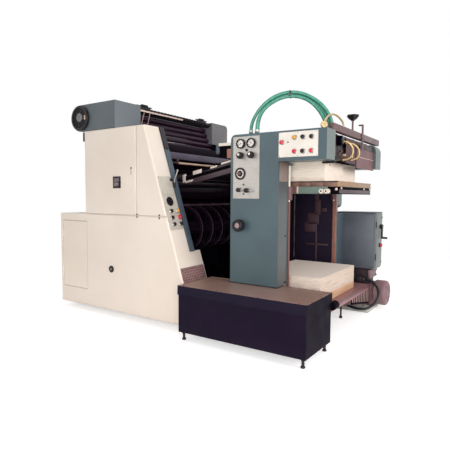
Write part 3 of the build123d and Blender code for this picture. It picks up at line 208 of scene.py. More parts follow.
# each look: what mixes it, its material's name, colour, shade and roughness, and what sets it apart
acrossGrain, levelGrain, uprightGrain = (1.0, 0.03, 1.0), (0.04, 0.04, 1.0), (1.0, 1.0, 0.05)
looks = {
    "creamEnamel": (enamel, "sprayed_cream_enamel", "#ebded2", "#e5d7c9", 0.42, {
        "dirt": "#d0bda8", "dirtTop": 0.11, "mottleMm": 420, "specular": 0.28}),
    # the teal, column, ink cover and cabinet enamels carry a painted side tone for light and shade; the
    # column copy differs from the teal only in it
    "tealEnamel": (enamel, "sprayed_teal_enamel", "#46595f", "#405157", 0.38, {
        "coat": 0.1, "paintedSideShading": "#656f6c"}),
    "columnEnamel": (enamel, "shaded_teal_enamel", "#46595f", "#405157", 0.38, {
        "coat": 0.1, "paintedSideShading": "#4e5253"}),
    "inkTealEnamel": (enamel, "aged_teal_enamel", "#525c61", "#4a5459", 0.4, {"paintedSideShading": "#6b7277"}),
    "cabinetEnamel": (enamel, "grey_cabinet_enamel", "#575c64", "#4e535b", 0.4, {
        "mottleMm": 160, "paintedSideShading": "#6f7573"}),
    "slateEnamel": (enamel, "sprayed_slate_enamel", "#4b5763", "#424d58", 0.4, {}),
    "beamEnamel": (enamel, "grey_violet_enamel", "#565060", "#4b4554", 0.42, {}),
    "farEnamel": (enamel, "paintedSideShading_grey_enamel", "#737175", "#67666a", 0.42, {}),
    "platformEnamel": (enamel, "worn_brown_enamel", "#96696a", "#835a5b", 0.42, {"mottleMm": 90}),
    "railSlate": (enamel, "slate_enamel_with_inked_top", "#4b5763", "#424d58", 0.4, {
        "upper": "#1a1620", "upperFrom": 1.626}),
    "palePink": (enamel, "pale_pink_enamel", "#e6d0c4", "#d8bfb2", 0.4, {}),
    "pinkEnamel": (enamel, "aged_pink_enamel", "#d8b8a2", "#c8a28c", 0.42, {}),
    "rustEnamel": (enamel, "red_brown_enamel", "#744840", "#643c35", 0.42, {}),
    # painted highlight: the plum of the drum's rim bands stands in for light caught on the disc rims
    "rimHighlightEnamel": (enamel, "plum_painted_rim_highlight", "#45303b", "#382631", 0.45, {"specular": 0.15}),
    "darkRust": (enamel, "oily_red_brown_enamel", "#41272f", "#361f28", 0.5, {}),
    "panelViolet": (enamel, "dull_violet_enamel", "#241b2e", "#1b1424", 0.55, {"specular": 0.1}),
    "boardBlack": (enamel, "black_lacquered_board", "#221c24", "#1a151c", 0.35, {}),
    "carriageGrey": (enamel, "grey_green_enamel", "#6f8076", "#63736b", 0.42, {}),
    # near black with almost no specular: the parts' own black, and painted shade standing in for the dark
    # inside of the press
    "innerBlack": (enamel, "black_enamel_and_painted_shade", "#0a070f", "#06040a", 0.65, {"specular": 0.03}),
    # painted shade: the footboard's faces turned to the feeder end are painted darker
    "footboardBlack": (enamel, "semigloss_black_enamel", "#1d1526", "#171020", 0.6, {
        "specular": 0.05, "dirt": "#2a222c", "dirtTop": 0.16, "paintedSideShading": "#110a17",
        "upper": "#1f1a29", "upperFrom": 0.382}),
    "brownLacquer": (enamel, "brown_lacquered_plate", "#92746a", "#8a6c61", 0.34, {
        "coat": 0.12, "mottleMm": 160, "peelDepthMm": 0.1}),
    "taupeEnamel": (enamel, "oily_taupe_enamel", "#4e3f44", "#43363b", 0.45, {}),
    "baseEnamel": (enamel, "pale_base_enamel", "#cfcac5", "#c2bcb7", 0.5, {
        "dirt": "#a89c92", "dirtTop": 0.03}),
    "brownEnamel": (enamel, "sprayed_brown_enamel", "#6d4648", "#5d3b3e", 0.42, {}),
    # the brown enamel made darker: painted shadow of the head rail on the guard plate wing
    "wingEnamel": (enamel, "brown_enamel_painted_shadow", "#4e3234", "#43292c", 0.45, {}),
    "knobFace": (enamel, "paintedSideShading_pink_enamel", "#a48a88", "#937977", 0.4, {}),
    "sidePlate": (enamel, "paintedSideShading_taupe_enamel", "#93827a", "#85756c", 0.45, {}),
    "railEnamel": (enamel, "worn_taupe_enamel", "#6a5152", "#5c4546", 0.42, {"mottleMm": 60}),
    "whiteEnamel": (enamel, "sprayed_white_enamel", "#ebe3da", "#e3dbd1", 0.4, {}),
    "pumpEnamel": (enamel, "cast_pump_enamel", "#876569", "#74575b", 0.45, {"peelDepthMm": 0.6}),
    # painted shade: the pump enamel made near black for the box that lies in shade
    "oilyPump": (enamel, "pump_enamel_painted_shade", "#35272d", "#291d23", 0.5, {"specular": 0.2}),
    "primerPost": (enamel, "red_oxide_primer", "#a36d5b", "#8e5d4c", 0.45, {"mottleMm": 50}),
    "treadEnamel": (enamel, "brown_tread_enamel", "#7d5a58", "#6c4c4b", 0.42, {"mottleMm": 40}),
    "wornTread": (enamel, "scuffed_tread_enamel", "#b59390", "#a07e7c", 0.36, {"mottleMm": 40}),
    "groundSteel": (brushedMetal, "ground_steel", "#bdb8b2", "#9c9690", 0.28, {"grain": acrossGrain}),
    "inkySteel": (brushedMetal, "oiled_steel", "#8e8689", "#5e565c", 0.3, {
        "grain": acrossGrain, "stain": "#4a3f46"}),
    "blackenedSteel": (brushedMetal, "blackened_steel", "#3a3338", "#262025", 0.4, {
        "grain": uprightGrain, "metallic": 0.6}),
    # near black steel with no metal and almost no specular: the cylinders' ink, and painted shade standing in
    # for the dark inside of the press
    "inkedSteelPaintedShade": (brushedMetal, "inked_steel_with_painted_shade", "#170c18", "#0f0810", 0.6, {
        "grain": acrossGrain, "stain": "#0c070d", "metallic": 0.0, "specular": 0.02}),
    "stainedPlate": (brushedMetal, "stained_anodised_aluminium", "#d4cbbf", "#c6bcb0", 0.45, {
        "grain": levelGrain, "stain": "#b5aa9e", "metallic": 0.2}),
    "silverPlate": (brushedMetal, "brushed_anodised_aluminium", "#b7b3ad", "#a7a29b", 0.42, {
        "grain": levelGrain, "metallic": 0.55}),
    "lacqueredBrass": (brushedMetal, "bent_lacquered_brass", "#cdb389", "#b5986c", 0.34, {
        "grain": uprightGrain, "metallic": 0.5}),
    "inkRubber": (moulded, "inked_ground_rubber", "#32192d", "#1e0e1b", 0.3, {"specular": 0.24}),
    "beltRubber": (moulded, "woven_tape_rubber", "#4a4038", "#3a312b", 0.7, {}),
    "blackPhenolic": (moulded, "moulded_black_phenolic", "#1f191d", "#171215", 0.32, {"specular": 0.25}),
    "redPlastic": (moulded, "moulded_red_acrylic", "#d8243c", "#c21f36", 0.22, {}),
    "amberPlastic": (moulded, "moulded_amber_acrylic", "#dd9c38", "#cc8c2e", 0.22, {}),
    "hoseRubber": (moulded, "braided_green_hose", "#469680", "#39826c", 0.32, {"mottleMm": 30}),
    "darkHose": (moulded, "moulded_dark_hose", "#171d1f", "#111618", 0.3, {"mottleMm": 30}),
    "creamTube": (moulded, "extruded_cream_tube", "#e2c68c", "#d2b272", 0.35, {}),
    "boardTimber": (timber, "varnished_beech_board", "#a58567", "#927357", 0.4, {
        "late": "#7c5f47", "ringMm": 26}),
    "stainedTimber": (timber, "oil_stained_beech_board", "#8a665a", "#785548", 0.42, {
        "late": "#63443a", "ringMm": 26}),
    "skidTimber": (timber, "sawn_pine_skid", "#d3a987", "#c29674", 0.6, {"late": "#ad825f", "ringMm": 22}),
    # the two paper looks differ in painted light and shade: the lower pile's feeder end is painted darker,
    # and the upper pile, under the head, is painted brighter
    "paper": (paperStack, "stacked_sheet_paper", "#fae7d7", "#efdac9", 0.85, {
        "lift": "#e6cebb", "top": "#ffefe2", "end": "#bfab9b"}),
    "freshPaper": (paperStack, "freshly_cut_sheet_paper", "#fff3e3", "#f8e6d6", 0.85, {
        "lift": "#efdac8", "top": "#f6e2d3", "end": "#fff0e2"}),
}
materials = {}
for key, (mixer, name, colour, shade, rough, more) in looks.items():
    materials[key] = mixer(name, {"colour": colour, "shade": shade, "rough": rough, **more})
print("materials mixed:", len(bpy.data.materials))

# finishes for the pieces that keep their built shape
finishes = {
    "creamEnamel": ["lower_cover_operator", "lower_cover_drive", "upper_cover_operator",
                    "front_cover_operator", "upper_cover_drive", "access_door"],
    "columnEnamel": ["feeder_column_operator"],
    "tealEnamel": ["feeder_arm_operator", "feeder_column_drive", "feeder_arm_drive"],
    "cabinetEnamel": ["electrical_cabinet"],
    "inkTealEnamel": ["ink_cover_operator"],
    "farEnamel": ["ink_cover_drive"],
    "railSlate": ["side_frame_operator"],
    "innerBlack": ["unit_bed", "suction_head", "side_frame_drive", "delivery_board"],
    "carriageGrey": ["lift_carriage"],
    "footboardBlack": ["footboard"],
    "brownLacquer": ["footboard_plate"],
    "platformEnamel": ["feeder_platform"],
    "brownEnamel": ["rear_guard_plate"],
    "whiteEnamel": ["button_panel"],
    "treadEnamel": ["kick_plate"],
    "blackenedSteel": ["levelling_feet"],
    "inkedSteelPaintedShade": ["plate_cylinder", "impression_cylinder", "transfer_drum"],
    "stainedPlate": ["unit_control_panel"],
    "silverPlate": ["gauge_panel"],
    "inkRubber": ["blanket_cylinder"] + [f"ink_roller_{i}" for i in range(1, 6)],
    "beltRubber": ["feed_tapes"],
    "blackPhenolic": ["unit_panel_controls", "gauge_panel_controls", "column_knob", "switch_handle",
                      "panel_buttons"],
}
for key, names in finishes.items():
    for name in names:
        for materialSlot in nodes[name].material_slots:
            materialSlot.material = materials[key]

# hoses: name, look, slot, diameter, length and route of the built tubes, in drawing millimetres
hoses = [
    ("green_hose_line_1", "hoseRubber", "hose_green", 28, 1034, [
        (2180, 298, 1724), (2180, 298, 1768), (2198, 299, 1826), (2234, 304, 1886), (2280, 316, 1942),
        (2338, 336, 1992), (2404, 364, 2026), (2480, 397, 2043), (2562, 432, 2034), (2640, 464, 1998),
        (2708, 492, 1946), (2756, 512, 1886), (2788, 525, 1822), (2800, 531, 1760), (2800, 531, 1700)]),
    ("green_hose_line_2", "hoseRubber", "hose_green", 28, 909, [
        (2240, 292, 1724), (2240, 292, 1768), (2248, 294, 1822), (2272, 302, 1878), (2312, 318, 1928),
        (2364, 342, 1968), (2426, 368, 1998), (2496, 396, 2009), (2564, 424, 1998), (2624, 448, 1970),
        (2674, 468, 1926), (2714, 484, 1872), (2744, 496, 1814), (2764, 502, 1758), (2764, 502, 1700)]),
    ("green_hose_line_3", "hoseRubber", "hose_green", 28, 957, [
        (2222, 338, 1724), (2222, 338, 1768), (2228, 338, 1822), (2250, 340, 1880), (2290, 348, 1932),
        (2342, 366, 1978), (2404, 394, 2008), (2476, 424, 2022), (2550, 454, 2014), (2616, 482, 1984),
        (2676, 508, 1938), (2722, 528, 1882), (2754, 546, 1822), (2770, 562, 1762), (2770, 562, 1700)]),
    ("cream_tube_line_1", "creamTube", "tube_cream", 13, 306, [
        (2821, 640, 1650), (2880, 640, 1650), (2926, 658, 1606), (2926, 684, 1544), (2880, 702, 1500),
        (2821, 702, 1500)]),
    ("cream_tube_line_2", "creamTube", "tube_cream", 13, 307, [
        (2821, 790, 1646), (2882, 790, 1646), (2930, 812, 1604), (2928, 846, 1546), (2880, 866, 1508),
        (2821, 866, 1508)]),
    ("pump_hose_line", "darkHose", "hose_dark", 28, 834, [
        (2485, 1560, 80), (2537, 1560, 80), (2592, 1554, 72), (2650, 1542, 57), (2712, 1532, 47),
        (2778, 1530, 46), (2835, 1542, 62), (2881, 1566, 94), (2911, 1597, 135), (2921, 1632, 183),
        (2911, 1668, 231), (2881, 1699, 272), (2835, 1722, 303), (2778, 1735, 320), (2720, 1735, 320)]),
]


# one smooth spline through the route
def layHose(name, material, slotName, diameterMm, builtLengthMm, route):
    curve = bpy.data.curves.new(name, "CURVE")
    curve.dimensions = "3D"
    curve.bevel_depth = diameterMm / 2000
    curve.bevel_resolution = 5
    curve.resolution_u = 8
    curve.use_fill_caps = True
    spline = curve.splines.new("NURBS")
    spline.points.add(len(route) - 1)
    for point, mm in zip(spline.points, route):
        point.co = (*place(*mm), 1.0)
    spline.order_u = 3
    spline.use_endpoint_u = True
    curve.materials.append(materials[material])
    hose = bpy.data.objects.new(name, curve)
    bpy.context.scene.collection.objects.link(hose)
    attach(hose, "press")
    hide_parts(name.replace("_line", ""))


for row in hoses:
    layHose(*row)
print("hoses laid")

# shape helpers: every part is a pair of arrays, points in drawing millimetres and faces

def gridFaces(rows, cols):  # quads of a grid whose columns close round, turned so that they face outwards
    i, j = np.meshgrid(np.arange(rows - 1), np.arange(cols), indexing="ij")
    right = (j + 1) % cols
    corners = [i * cols + j, i * cols + right, (i + 1) * cols + right, (i + 1) * cols + j]
    return np.stack(corners, -1).reshape(-1, 4)


def axisFrame(axis):  # two directions square to the axis, right handed with it
    axis = np.array(axis, float) / np.linalg.norm(axis)
    side = np.cross((0, 0, 1) if abs(axis[2]) < 0.9 else (0, 1, 0), axis)
    side /= np.linalg.norm(side)
    return axis, side, np.cross(axis, side)


# a profile of radius and height turned about an axis; grips cut waves into its widest part
def revolve(profile, base, axis, steps=28, grips=0, cutMm=0):
    axis, side, other = axisFrame(axis)
    radius, height = np.array(profile, float).T
    turn = np.linspace(0, 2 * np.pi, steps, endpoint=False)
    ring = np.cos(turn)[:, None] * side + np.sin(turn)[:, None] * other
    cut = (radius[:, None] > 0.8 * radius.max()) * cutMm * (0.5 - 0.5 * np.cos(grips * turn))
    points = np.array(base, float) + height[:, None, None] * axis + (radius[:, None] - cut)[:, :, None] * ring
    return points.reshape(-1, 3), gridFaces(len(profile), steps)


def capProfile(radius, wall, bevel, height):  # a low turned cap with a broken edge
    return [(0, 0), (radius, 0), (radius, wall), (radius - bevel, height), (0, height)]


def buttonProfile(radius, height):  # a turned button with a domed cap
    rise = radius * 0.35
    dome = [(radius * math.cos(a), height + rise * math.sin(a)) for a in np.linspace(0.25, np.pi / 2, 5)]
    return [(0, 0), (radius * 0.95, 0), (radius, 1.5), (radius, height)] + dome[:-1] + [(0, height + rise)]


def ringBand(centre, axis, inner, outer, wide, steps=32):  # a flat band round a hose or a bar
    half = wide / 2
    ring = [(inner, -half), (outer, -half), (outer, half), (inner, half), (inner, -half)]
    return revolve(ring, centre, axis, steps)


# a box with rounded edges: a sphere's grid whose eight parts are moved apart by the half size less the radius
def roundedBlock(low, high, radius, arcs=3):
    low, high = np.array(low, float), np.array(high, float)
    half = (high - low) / 2 - radius
    quarter = np.linspace(0, np.pi / 2, arcs)
    around = (np.arange(4)[:, None] * np.pi / 2 + quarter).ravel()
    up = np.concatenate([quarter - np.pi / 2, quarter])
    signX = np.repeat([1, -1, -1, 1], arcs)
    signY = np.repeat([1, 1, -1, -1], arcs)
    signZ = np.repeat([-1, 1], arcs)
    x = radius * np.cos(up)[:, None] * np.cos(around) + signX * half[0]
    y = radius * np.cos(up)[:, None] * np.sin(around) + signY * half[1]
    z = (radius * np.sin(up) + signZ * half[2])[:, None] + 0 * around
    points = np.stack([x, y, z], -1).reshape(-1, 3) + (low + high) / 2
    corner = np.arange(4) * arcs
    caps = np.array([corner[::-1], corner + (2 * arcs - 1) * 4 * arcs])
    return points, np.concatenate([gridFaces(2 * arcs, 4 * arcs), caps])


# circles carried along a path, each square to the line through its two neighbours, closed at both ends
def tubeThrough(path, radius, sides=12):
    path = np.array(path, float)
    along = np.gradient(path, axis=0)
    along /= np.linalg.norm(along, axis=1)[:, None]
    lead = np.array([0.31, 0.17, 0.94]) if abs(along[0][2]) < 0.9 else np.array([0.94, 0.31, 0.17])
    side = np.cross(np.broadcast_to(lead, along.shape), along)
    side /= np.linalg.norm(side, axis=1)[:, None]
    other = np.cross(along, side)
    turn = np.linspace(0, 2 * np.pi, sides, endpoint=False)
    ring = np.cos(turn)[None, :, None] * side[:, None] + np.sin(turn)[None, :, None] * other[:, None]
    rings = path[:, None] + radius * ring
    rings = np.concatenate([np.repeat(path[:1, None], sides, 1), rings, np.repeat(path[-1:, None], sides, 1)])
    return rings.reshape(-1, 3), gridFaces(len(path) + 2, sides)


# a smooth curve through the points: Catmull and Rom's cubic blend of each point with its three neighbours
def smoothPath(points, each=8):
    p = np.array(points, float)
    p = np.vstack([2 * p[0] - p[1], p, 2 * p[-1] - p[-2]])
    t = np.linspace(0, 1, each, endpoint=False)[:, None]
    runs = [0.5 * (2 * b + (c - a) * t + (2 * a - 5 * b + 4 * c - d) * t ** 2
                   + (3 * b - a - 3 * c + d) * t ** 3) for a, b, c, d in zip(p, p[1:], p[2:], p[3:])]
    return np.concatenate(runs + [p[-2:-1]])


def rod(start, end, radius, steps=16, bevel=0.15):  # a round bar with broken edges between two points
    start, end = np.array(start, float), np.array(end, float)
    length = np.linalg.norm(end - start)
    cut = radius * bevel
    profile = [(0, 0), (radius - cut, 0), (radius, cut), (radius, length - cut), (radius - cut, length),
               (0, length)]
    return revolve(profile, start, end - start, steps)


# a flat outline in x and z, counter clockwise from the operator side, given depth across the press
def prism(outline, y0, y1):
    flat = np.array(outline, float)
    count = len(flat)
    near = np.stack([flat[:, 0], np.full(count, y0), flat[:, 1]], 1)
    first = np.arange(count)
    after = (first + 1) % count
    sides = np.stack([first, count + first, count + after, after], 1)
    points = np.concatenate([near, near + (0, y1 - y0, 0)])
    return [(points, sides), (points, first[None]), (points, count + first[None, ::-1])]


def copies(part, offsets):  # the same part at many places, as one pair of arrays
    points, faces = part
    offsets = np.array(offsets, float).reshape(-1, 3)
    moved = points[None] + offsets[:, None]
    steps = np.arange(len(offsets))[:, None, None] * len(points)
    return moved.reshape(-1, 3), (faces[None] + steps).reshape(-1, faces.shape[1])


def leaned(part, base, across, up, out):  # a part drawn flat at the origin, set on a slanted face
    points, faces = part
    return points @ np.array([across, up, out], float) + np.array(base, float), faces


def facing(angle=0):  # directions of a part drawn flat and set on a face that looks at the operator
    c, s = math.cos(math.radians(angle)), math.sin(math.radians(angle))
    return (c, 0, s), (-s, 0, c), toOperator


def screwHead(base, axis, radius):  # a low round head with a broken edge
    return revolve([(0, 0), (radius, 0), (radius, radius * 0.35), (radius * 0.7, radius * 0.65),
                    (0, radius * 0.7)], base, axis, 16)


def hexBolt(base, axis, radius, height):  # six sided head on a washer
    axis = np.array(axis, float) / np.linalg.norm(axis)
    flange, rise = radius * 1.6, height * 0.25
    washer = revolve([(0, 0), (flange, 0), (flange, rise), (0, rise)], base, axis, 20)
    profile = [(0, 0), (radius * 1.15, 0), (radius * 1.15, height * 0.8), (radius, height), (0, height)]
    head = revolve(profile, np.array(base, float) + axis * rise, axis, 6)
    return np.concatenate([washer[0], head[0]]), np.concatenate([washer[1], head[1] + len(washer[0])])


def blocks(rows, offset=(0, 0, 0)):  # rounded blocks from rows of two corners and an edge radius
    return [copies(roundedBlock(*row), offset) for row in rows]


# round bars from rows of two ends, a radius and, where it isn't 16, a number of sides
def bars(rows, offset=(0, 0, 0)):
    return [copies(rod(*row), offset) for row in rows]


def makePiece(name, parts, material, slotName, body="press", replaced=()):
    counts = np.cumsum([0] + [len(points) for points, faces in parts])
    points = (np.concatenate([points for points, faces in parts]) - originMm) / 1000
    faces = [face for (part, quads), start in zip(parts, counts) for face in (quads + start).tolist()]
    mesh = bpy.data.meshes.new(name)
    mesh.from_pydata(points.tolist(), [], faces)
    work = bmesh.new()
    work.from_mesh(mesh)
    bmesh.ops.remove_doubles(work, verts=work.verts, dist=2e-6)  # closes poles and seams
    bmesh.ops.dissolve_degenerate(work, edges=work.edges, dist=1e-6)
    work.to_mesh(mesh)
    work.free()
    mesh.shade_smooth()
    mesh.set_sharp_from_angle(angle=math.radians(38))  # rounded edges shade smooth, corners stay crisp
    mesh.materials.append(materials[material])
    piece = bpy.data.objects.new(name, mesh)
    bpy.context.scene.collection.objects.link(piece)
    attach(piece, body)
    if replaced:
        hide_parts(*replaced)


# pieces that are only blocks and bars: look, slot, rows of blocks, rows of bars, then body and replaced nodes
def plainPieces(table):
    for name, (material, slotName, blockRows, barRows, *more) in table.items():
        makePiece(name, blocks(blockRows) + bars(barRows), material, slotName, *more)


# fittings on the operator side cover; the rows of the latch and the keyhole start from their middles
coverFittings = {
    "plug": (789, 475), "plugRadius": 34, "handle": (880, 0, 1318), "keyhole": (1070, 0, 1448),
    "seamScrews": [(1142, 1020), (1142, 994), (1419, 1020), (1419, 994)],
    "frame": [((-50, -3, -56), (50, 2, 56), 1.4), ((-50, -7, -56), (-40, 0, 56), 2.4),
              ((40, -7, -56), (50, 0, 56), 2.4), ((-50, -7, 46), (50, 0, 56), 2.4),
              ((-50, -7, -56), (50, 0, -46), 2.4)],
    "lever": [((-34, -8, 4), (34, -2, 40), 2.6), ((-34, -12, -38), (34, -4, -4), 3.2)],
    "pin": [((-36, -7, 1), (36, -7, 1), 4)], "slot": [((-2, -2, -62), (2, 1, -14), 0.8)],
    "seams": [((412, 1.5, 1004.5), (1494, 8, 1008.5), 0.5), ((1131.5, 1.5, 1010), (1135.5, 8, 1833), 0.5)]}


def dressCover():
    x, z = coverFittings["plug"]
    r = coverFittings["plugRadius"]
    ring = [(0, 0), (r, 0), (r, 4), (r - 4, 8), (r - 9, 8), (r - 12, 5), (13, 5), (13, 0), (0, 0)]
    handle, keyhole = coverFittings["handle"], coverFittings["keyhole"]
    black = [revolve(ring, (x, 0, z), toOperator, 40)] + blocks(coverFittings["frame"], handle)
    screw = capProfile(8, 2, 3, 5)
    black += [revolve(screw, (sx, 0, sz), toOperator, 20) for sx, sz in coverFittings["seamScrews"]]
    black += blocks(coverFittings["slot"], keyhole)
    makePiece("cover_fittings", black, "blackPhenolic", "black_plastic")
    bright = [revolve([(0, 0), (12, 0), (12, 7), (9, 10), (0, 11)], (x, -1, z), toOperator, 24)]
    bright += blocks(coverFittings["lever"], handle) + bars(coverFittings["pin"], handle)
    bright.append(revolve(capProfile(10, 3, 3, 5), keyhole, toOperator, 20))
    makePiece("cover_latch_lever", bright, "inkySteel", "steel")
    makePiece("cover_seam_strips", blocks(coverFittings["seams"]), "creamEnamel", "cream_paint")


dressCover()

# controls on the slanted panel: place across the press, height and, on a lever, distance out of it
lean = math.radians(18)
slopeAcross = (0, 1, 0)
slopeUp = (-math.sin(lean), 0, math.cos(lean))
slopeOut = (math.cos(lean), 0, math.sin(lean))
unitPanel = {
    "faceMm": 6, "dial": (88, 1141), "dialRadius": 42, "amber": (160, 1055), "red": (164, 999),
    "blackKnobs": [(72, 1056), (66, 997), (69, 939), (161, 937)],
    "screws": [(22, 1352), (22, 1125), (22, 906), (174, 1222), (174, 906)],
    "lever": [(270, 1420, 34), (240, 1385, 40), (212, 1352, 40), (196, 1330, 34), (192, 1300, 26)],
    "pivot": (268, 1418), "grip": [(192, 1306, 27), (191, 1286, 22), (190, 1262, 18)], "stop": (176, 1337)}


def slopePoint(y, z, out=0):  # a point on the slanted front, out of it by the given distance
    return np.array([1233 + (1835 - z) * math.tan(lean), y, z]) + out * np.array(slopeOut)


def onSlope(profile, spot, steps=28):  # a turned part on the slanted panel
    return revolve(profile, slopePoint(*spot, unitPanel["faceMm"]), slopeOut, steps)


def dressUnitPanel():
    r = unitPanel["dialRadius"]
    dial = [(0, 0), (r, 0), (r, 6), (r - 3, 9), (r - 8, 9), (r - 10, 6), (r * 0.45, 6),
            (r * 0.42, 16), (0, 18)]
    knobs, amber, red, pivot = (unitPanel[key] for key in ("blackKnobs", "amber", "red", "pivot"))
    black = [onSlope(dial, unitPanel["dial"], 44)] + [onSlope(buttonProfile(15, 18), spot) for spot in knobs]
    black.append(tubeThrough([slopePoint(*spot) for spot in unitPanel["grip"]], 12))
    black.append(onSlope([(0, 0), (15, 0), (15, 10), (11, 16), (0, 17)], unitPanel["stop"], 24))
    pale = [onSlope(capProfile(22, 5, 4, 8), spot) for spot in knobs]
    pale += [onSlope(capProfile(21, 5, 4, 8), spot) for spot in (amber, red)]
    pale += [onSlope(capProfile(5, 2, 2, 3), spot, 14) for spot in unitPanel["screws"]]
    pale.append(tubeThrough([slopePoint(*spot) for spot in unitPanel["lever"]], 6))
    pale.append(rod(slopePoint(*pivot, -10), slopePoint(*pivot, 42), 11))
    makePiece("unit_panel_black", black, "blackPhenolic", "black_plastic", replaced=("unit_panel_controls",))
    makePiece("unit_panel_bezels", pale, "groundSteel", "steel")
    makePiece("unit_panel_amber", [onSlope(buttonProfile(15, 16), amber)], "amberPlastic", "button_plastic")
    makePiece("unit_panel_red", [onSlope(buttonProfile(20, 20), red, 32)], "redPlastic", "button_plastic")


dressUnitPanel()
print("operator cover and slanted panel dressed")

# feeder panels: gauges, regulators, selector and valve on the upright panel, buttons on the arm panel
panelFace = 202
gaugePanel = {
    "gauges": [(2144, 1625), (2243, 1626)], "gaugeRadius": 40, "needles": (205, 128),
    "regulators": [(2148, 1527), (2250, 1528)], "selector": (2138, 1380), "valve": (2170, 1243),
    "plugs": [(0, 47, 7), (1, -31, 7), (27, 328, 12)],  # from the valve, with their radius
    "screws": [(x, z) for x in (2079, 2305) for z in (1671, 1424, 1187)]}
buttonPanel = {
    "red": [(2520, 1613), (2626, 1539), (2764, 1538)], "amber": [(2626, 1644)],
    "black": [(2695, 1644), (2765, 1643), (2695, 1538)], "dot": (2569, 1612),
    "screws": [(x, z) for x in (2650, 2497, 2804) for z in (1682, 1505)]}


def onPanel(profile, spot, steps, grips=0, cutMm=0, out=0):  # a turned part on a feeder panel
    return revolve(profile, (spot[0], panelFace - out, spot[1]), toOperator, steps, grips, cutMm)


# a flat bar on a feeder panel, turned about a control's middle
def flatOnPanel(low, high, radius, spot, angle):
    return leaned(roundedBlock(low, high, radius), (spot[0], panelFace, spot[1]), *facing(angle))


def dressGauges(black, white, steel):
    r = gaugePanel["gaugeRadius"]
    bezel = [(0, 0), (r, 0), (r, 17), (r - 2, 21), (r - 7, 22), (r - 10, 17), (r - 10, 9), (0, 9)]
    for spot, needle in zip(gaugePanel["gauges"], gaugePanel["needles"]):
        black.append(onPanel(bezel, spot, 48))
        white.append(onPanel([(0, 8), (r - 10, 8), (r - 10, 10), (0, 10)], spot, 40))
        for i in range(13):  # graduations over three quarters of the circle
            start = r * 0.56 - (4 if i % 3 == 0 else 0)
            black.append(flatOnPanel((start, -0.8, 9.8), (r * 0.7, 0.8, 10.6), 0.2, spot, -45 + 22.5 * i))
        black.append(flatOnPanel((-7, -1.1, 11), (r * 0.6, 1.1, 12), 0.3, spot, needle))
        black.append(rod((spot[0], panelFace - 9, spot[1]), (spot[0], panelFace - 14, spot[1]), 4))
    grip = [(0, 0), (18, 0), (18, 8), (28, 11), (28, 38), (25, 44), (0, 44)]
    # painted glint: a small white disc up and to the left on each regulator stands in for the light caught by
    # the black knob
    paintedGlint = [(0, 43), (10, 43), (10, 45), (8, 46.5), (0, 46.5)]
    for x, z in gaugePanel["regulators"]:
        black.append(onPanel(grip, (x, z), 108, 18, 1.8))
        white.append(onPanel(paintedGlint, (x - 5, z + 7), 32))
        steel.append(onPanel(capProfile(22, 4, 3, 6), (x, z), 6))


def dressSelector(black, white, steel, brown):
    spot = gaugePanel["selector"]
    ring = [(0, 0), (50, 0), (50, 7), (47, 10), (38, 10), (36, 6), (36, 3), (0, 3)]
    black.append(onPanel(ring, spot, 56))
    white.append(onPanel([(0, 2), (35, 2), (35, 4.2), (0, 4.2)], spot, 48))
    black += [flatOnPanel((23, -1.6, 3.8), (36, 1.6, 5.4), 0.5, spot, angle) for angle in range(0, 360, 45)]
    black.append(onPanel([(0, 3), (24, 3), (24, 13), (21, 16), (0, 16)], spot, 60, 10, 2.5))
    brown.append(flatOnPanel((-11, -11, 15), (11, 11, 19), 1.5, spot, 45))
    x, z = gaugePanel["valve"]
    steel.append(rod((x, panelFace + 1, z), (x, panelFace - 16, z), 10, 20))
    steel.append(flatOnPanel((-44, -6, 10), (98, 6, 16), 2.5, (x, z), -2))
    black.append(onPanel(buttonProfile(17, 20), (x - 42, z + 2), 28, out=6))
    black.append(onPanel(buttonProfile(19, 22), (x + 36, z - 2), 28, out=6))
    black += [onPanel(capProfile(r, 4, 2, 6), (x + dx, z + dz), 18) for dx, dz, r in gaugePanel["plugs"]]


def dressFeederPanels():
    black, white, steel, brown = [], [], [], []
    dressGauges(black, white, steel)
    dressSelector(black, white, steel, brown)
    steel += [screwHead((x, panelFace, z), toOperator, 5) for x, z in gaugePanel["screws"]]
    makePiece("gauge_panel_black", black, "blackPhenolic", "black_plastic",
              replaced=("gauge_panel_controls",))
    makePiece("gauge_dials", white, "whiteEnamel", "white_panel")
    makePiece("gauge_panel_steel", steel, "groundSteel", "steel")
    makePiece("selector_centre", brown, "brownEnamel", "brown_paint")
    barrel = [(0, 0), (20, 0), (20, 3), (18, 4), (18, 15), (16, 17), (0, 17)]
    bezels = [screwHead((x, panelFace, z), toOperator, 4) for x, z in buttonPanel["screws"]]
    caps = {}
    for kind in ("red", "amber", "black"):
        bezels += [onPanel(barrel, spot, 36) for spot in buttonPanel[kind]]
        caps[kind] = [onPanel(buttonProfile(15, 22), spot, 32, out=2) for spot in buttonPanel[kind]]
    caps["black"].append(onPanel([(0, 0), (6, 0), (6, 3), (0, 4)], buttonPanel["dot"], 18))
    makePiece("panel_buttons_red", caps["red"], "redPlastic", "button_plastic", replaced=("panel_buttons",))
    makePiece("panel_buttons_amber", caps["amber"], "amberPlastic", "button_plastic")
    makePiece("panel_buttons_black", caps["black"], "blackPhenolic", "black_plastic")
    makePiece("panel_button_bezels", bezels, "groundSteel", "steel")


dressFeederPanels()

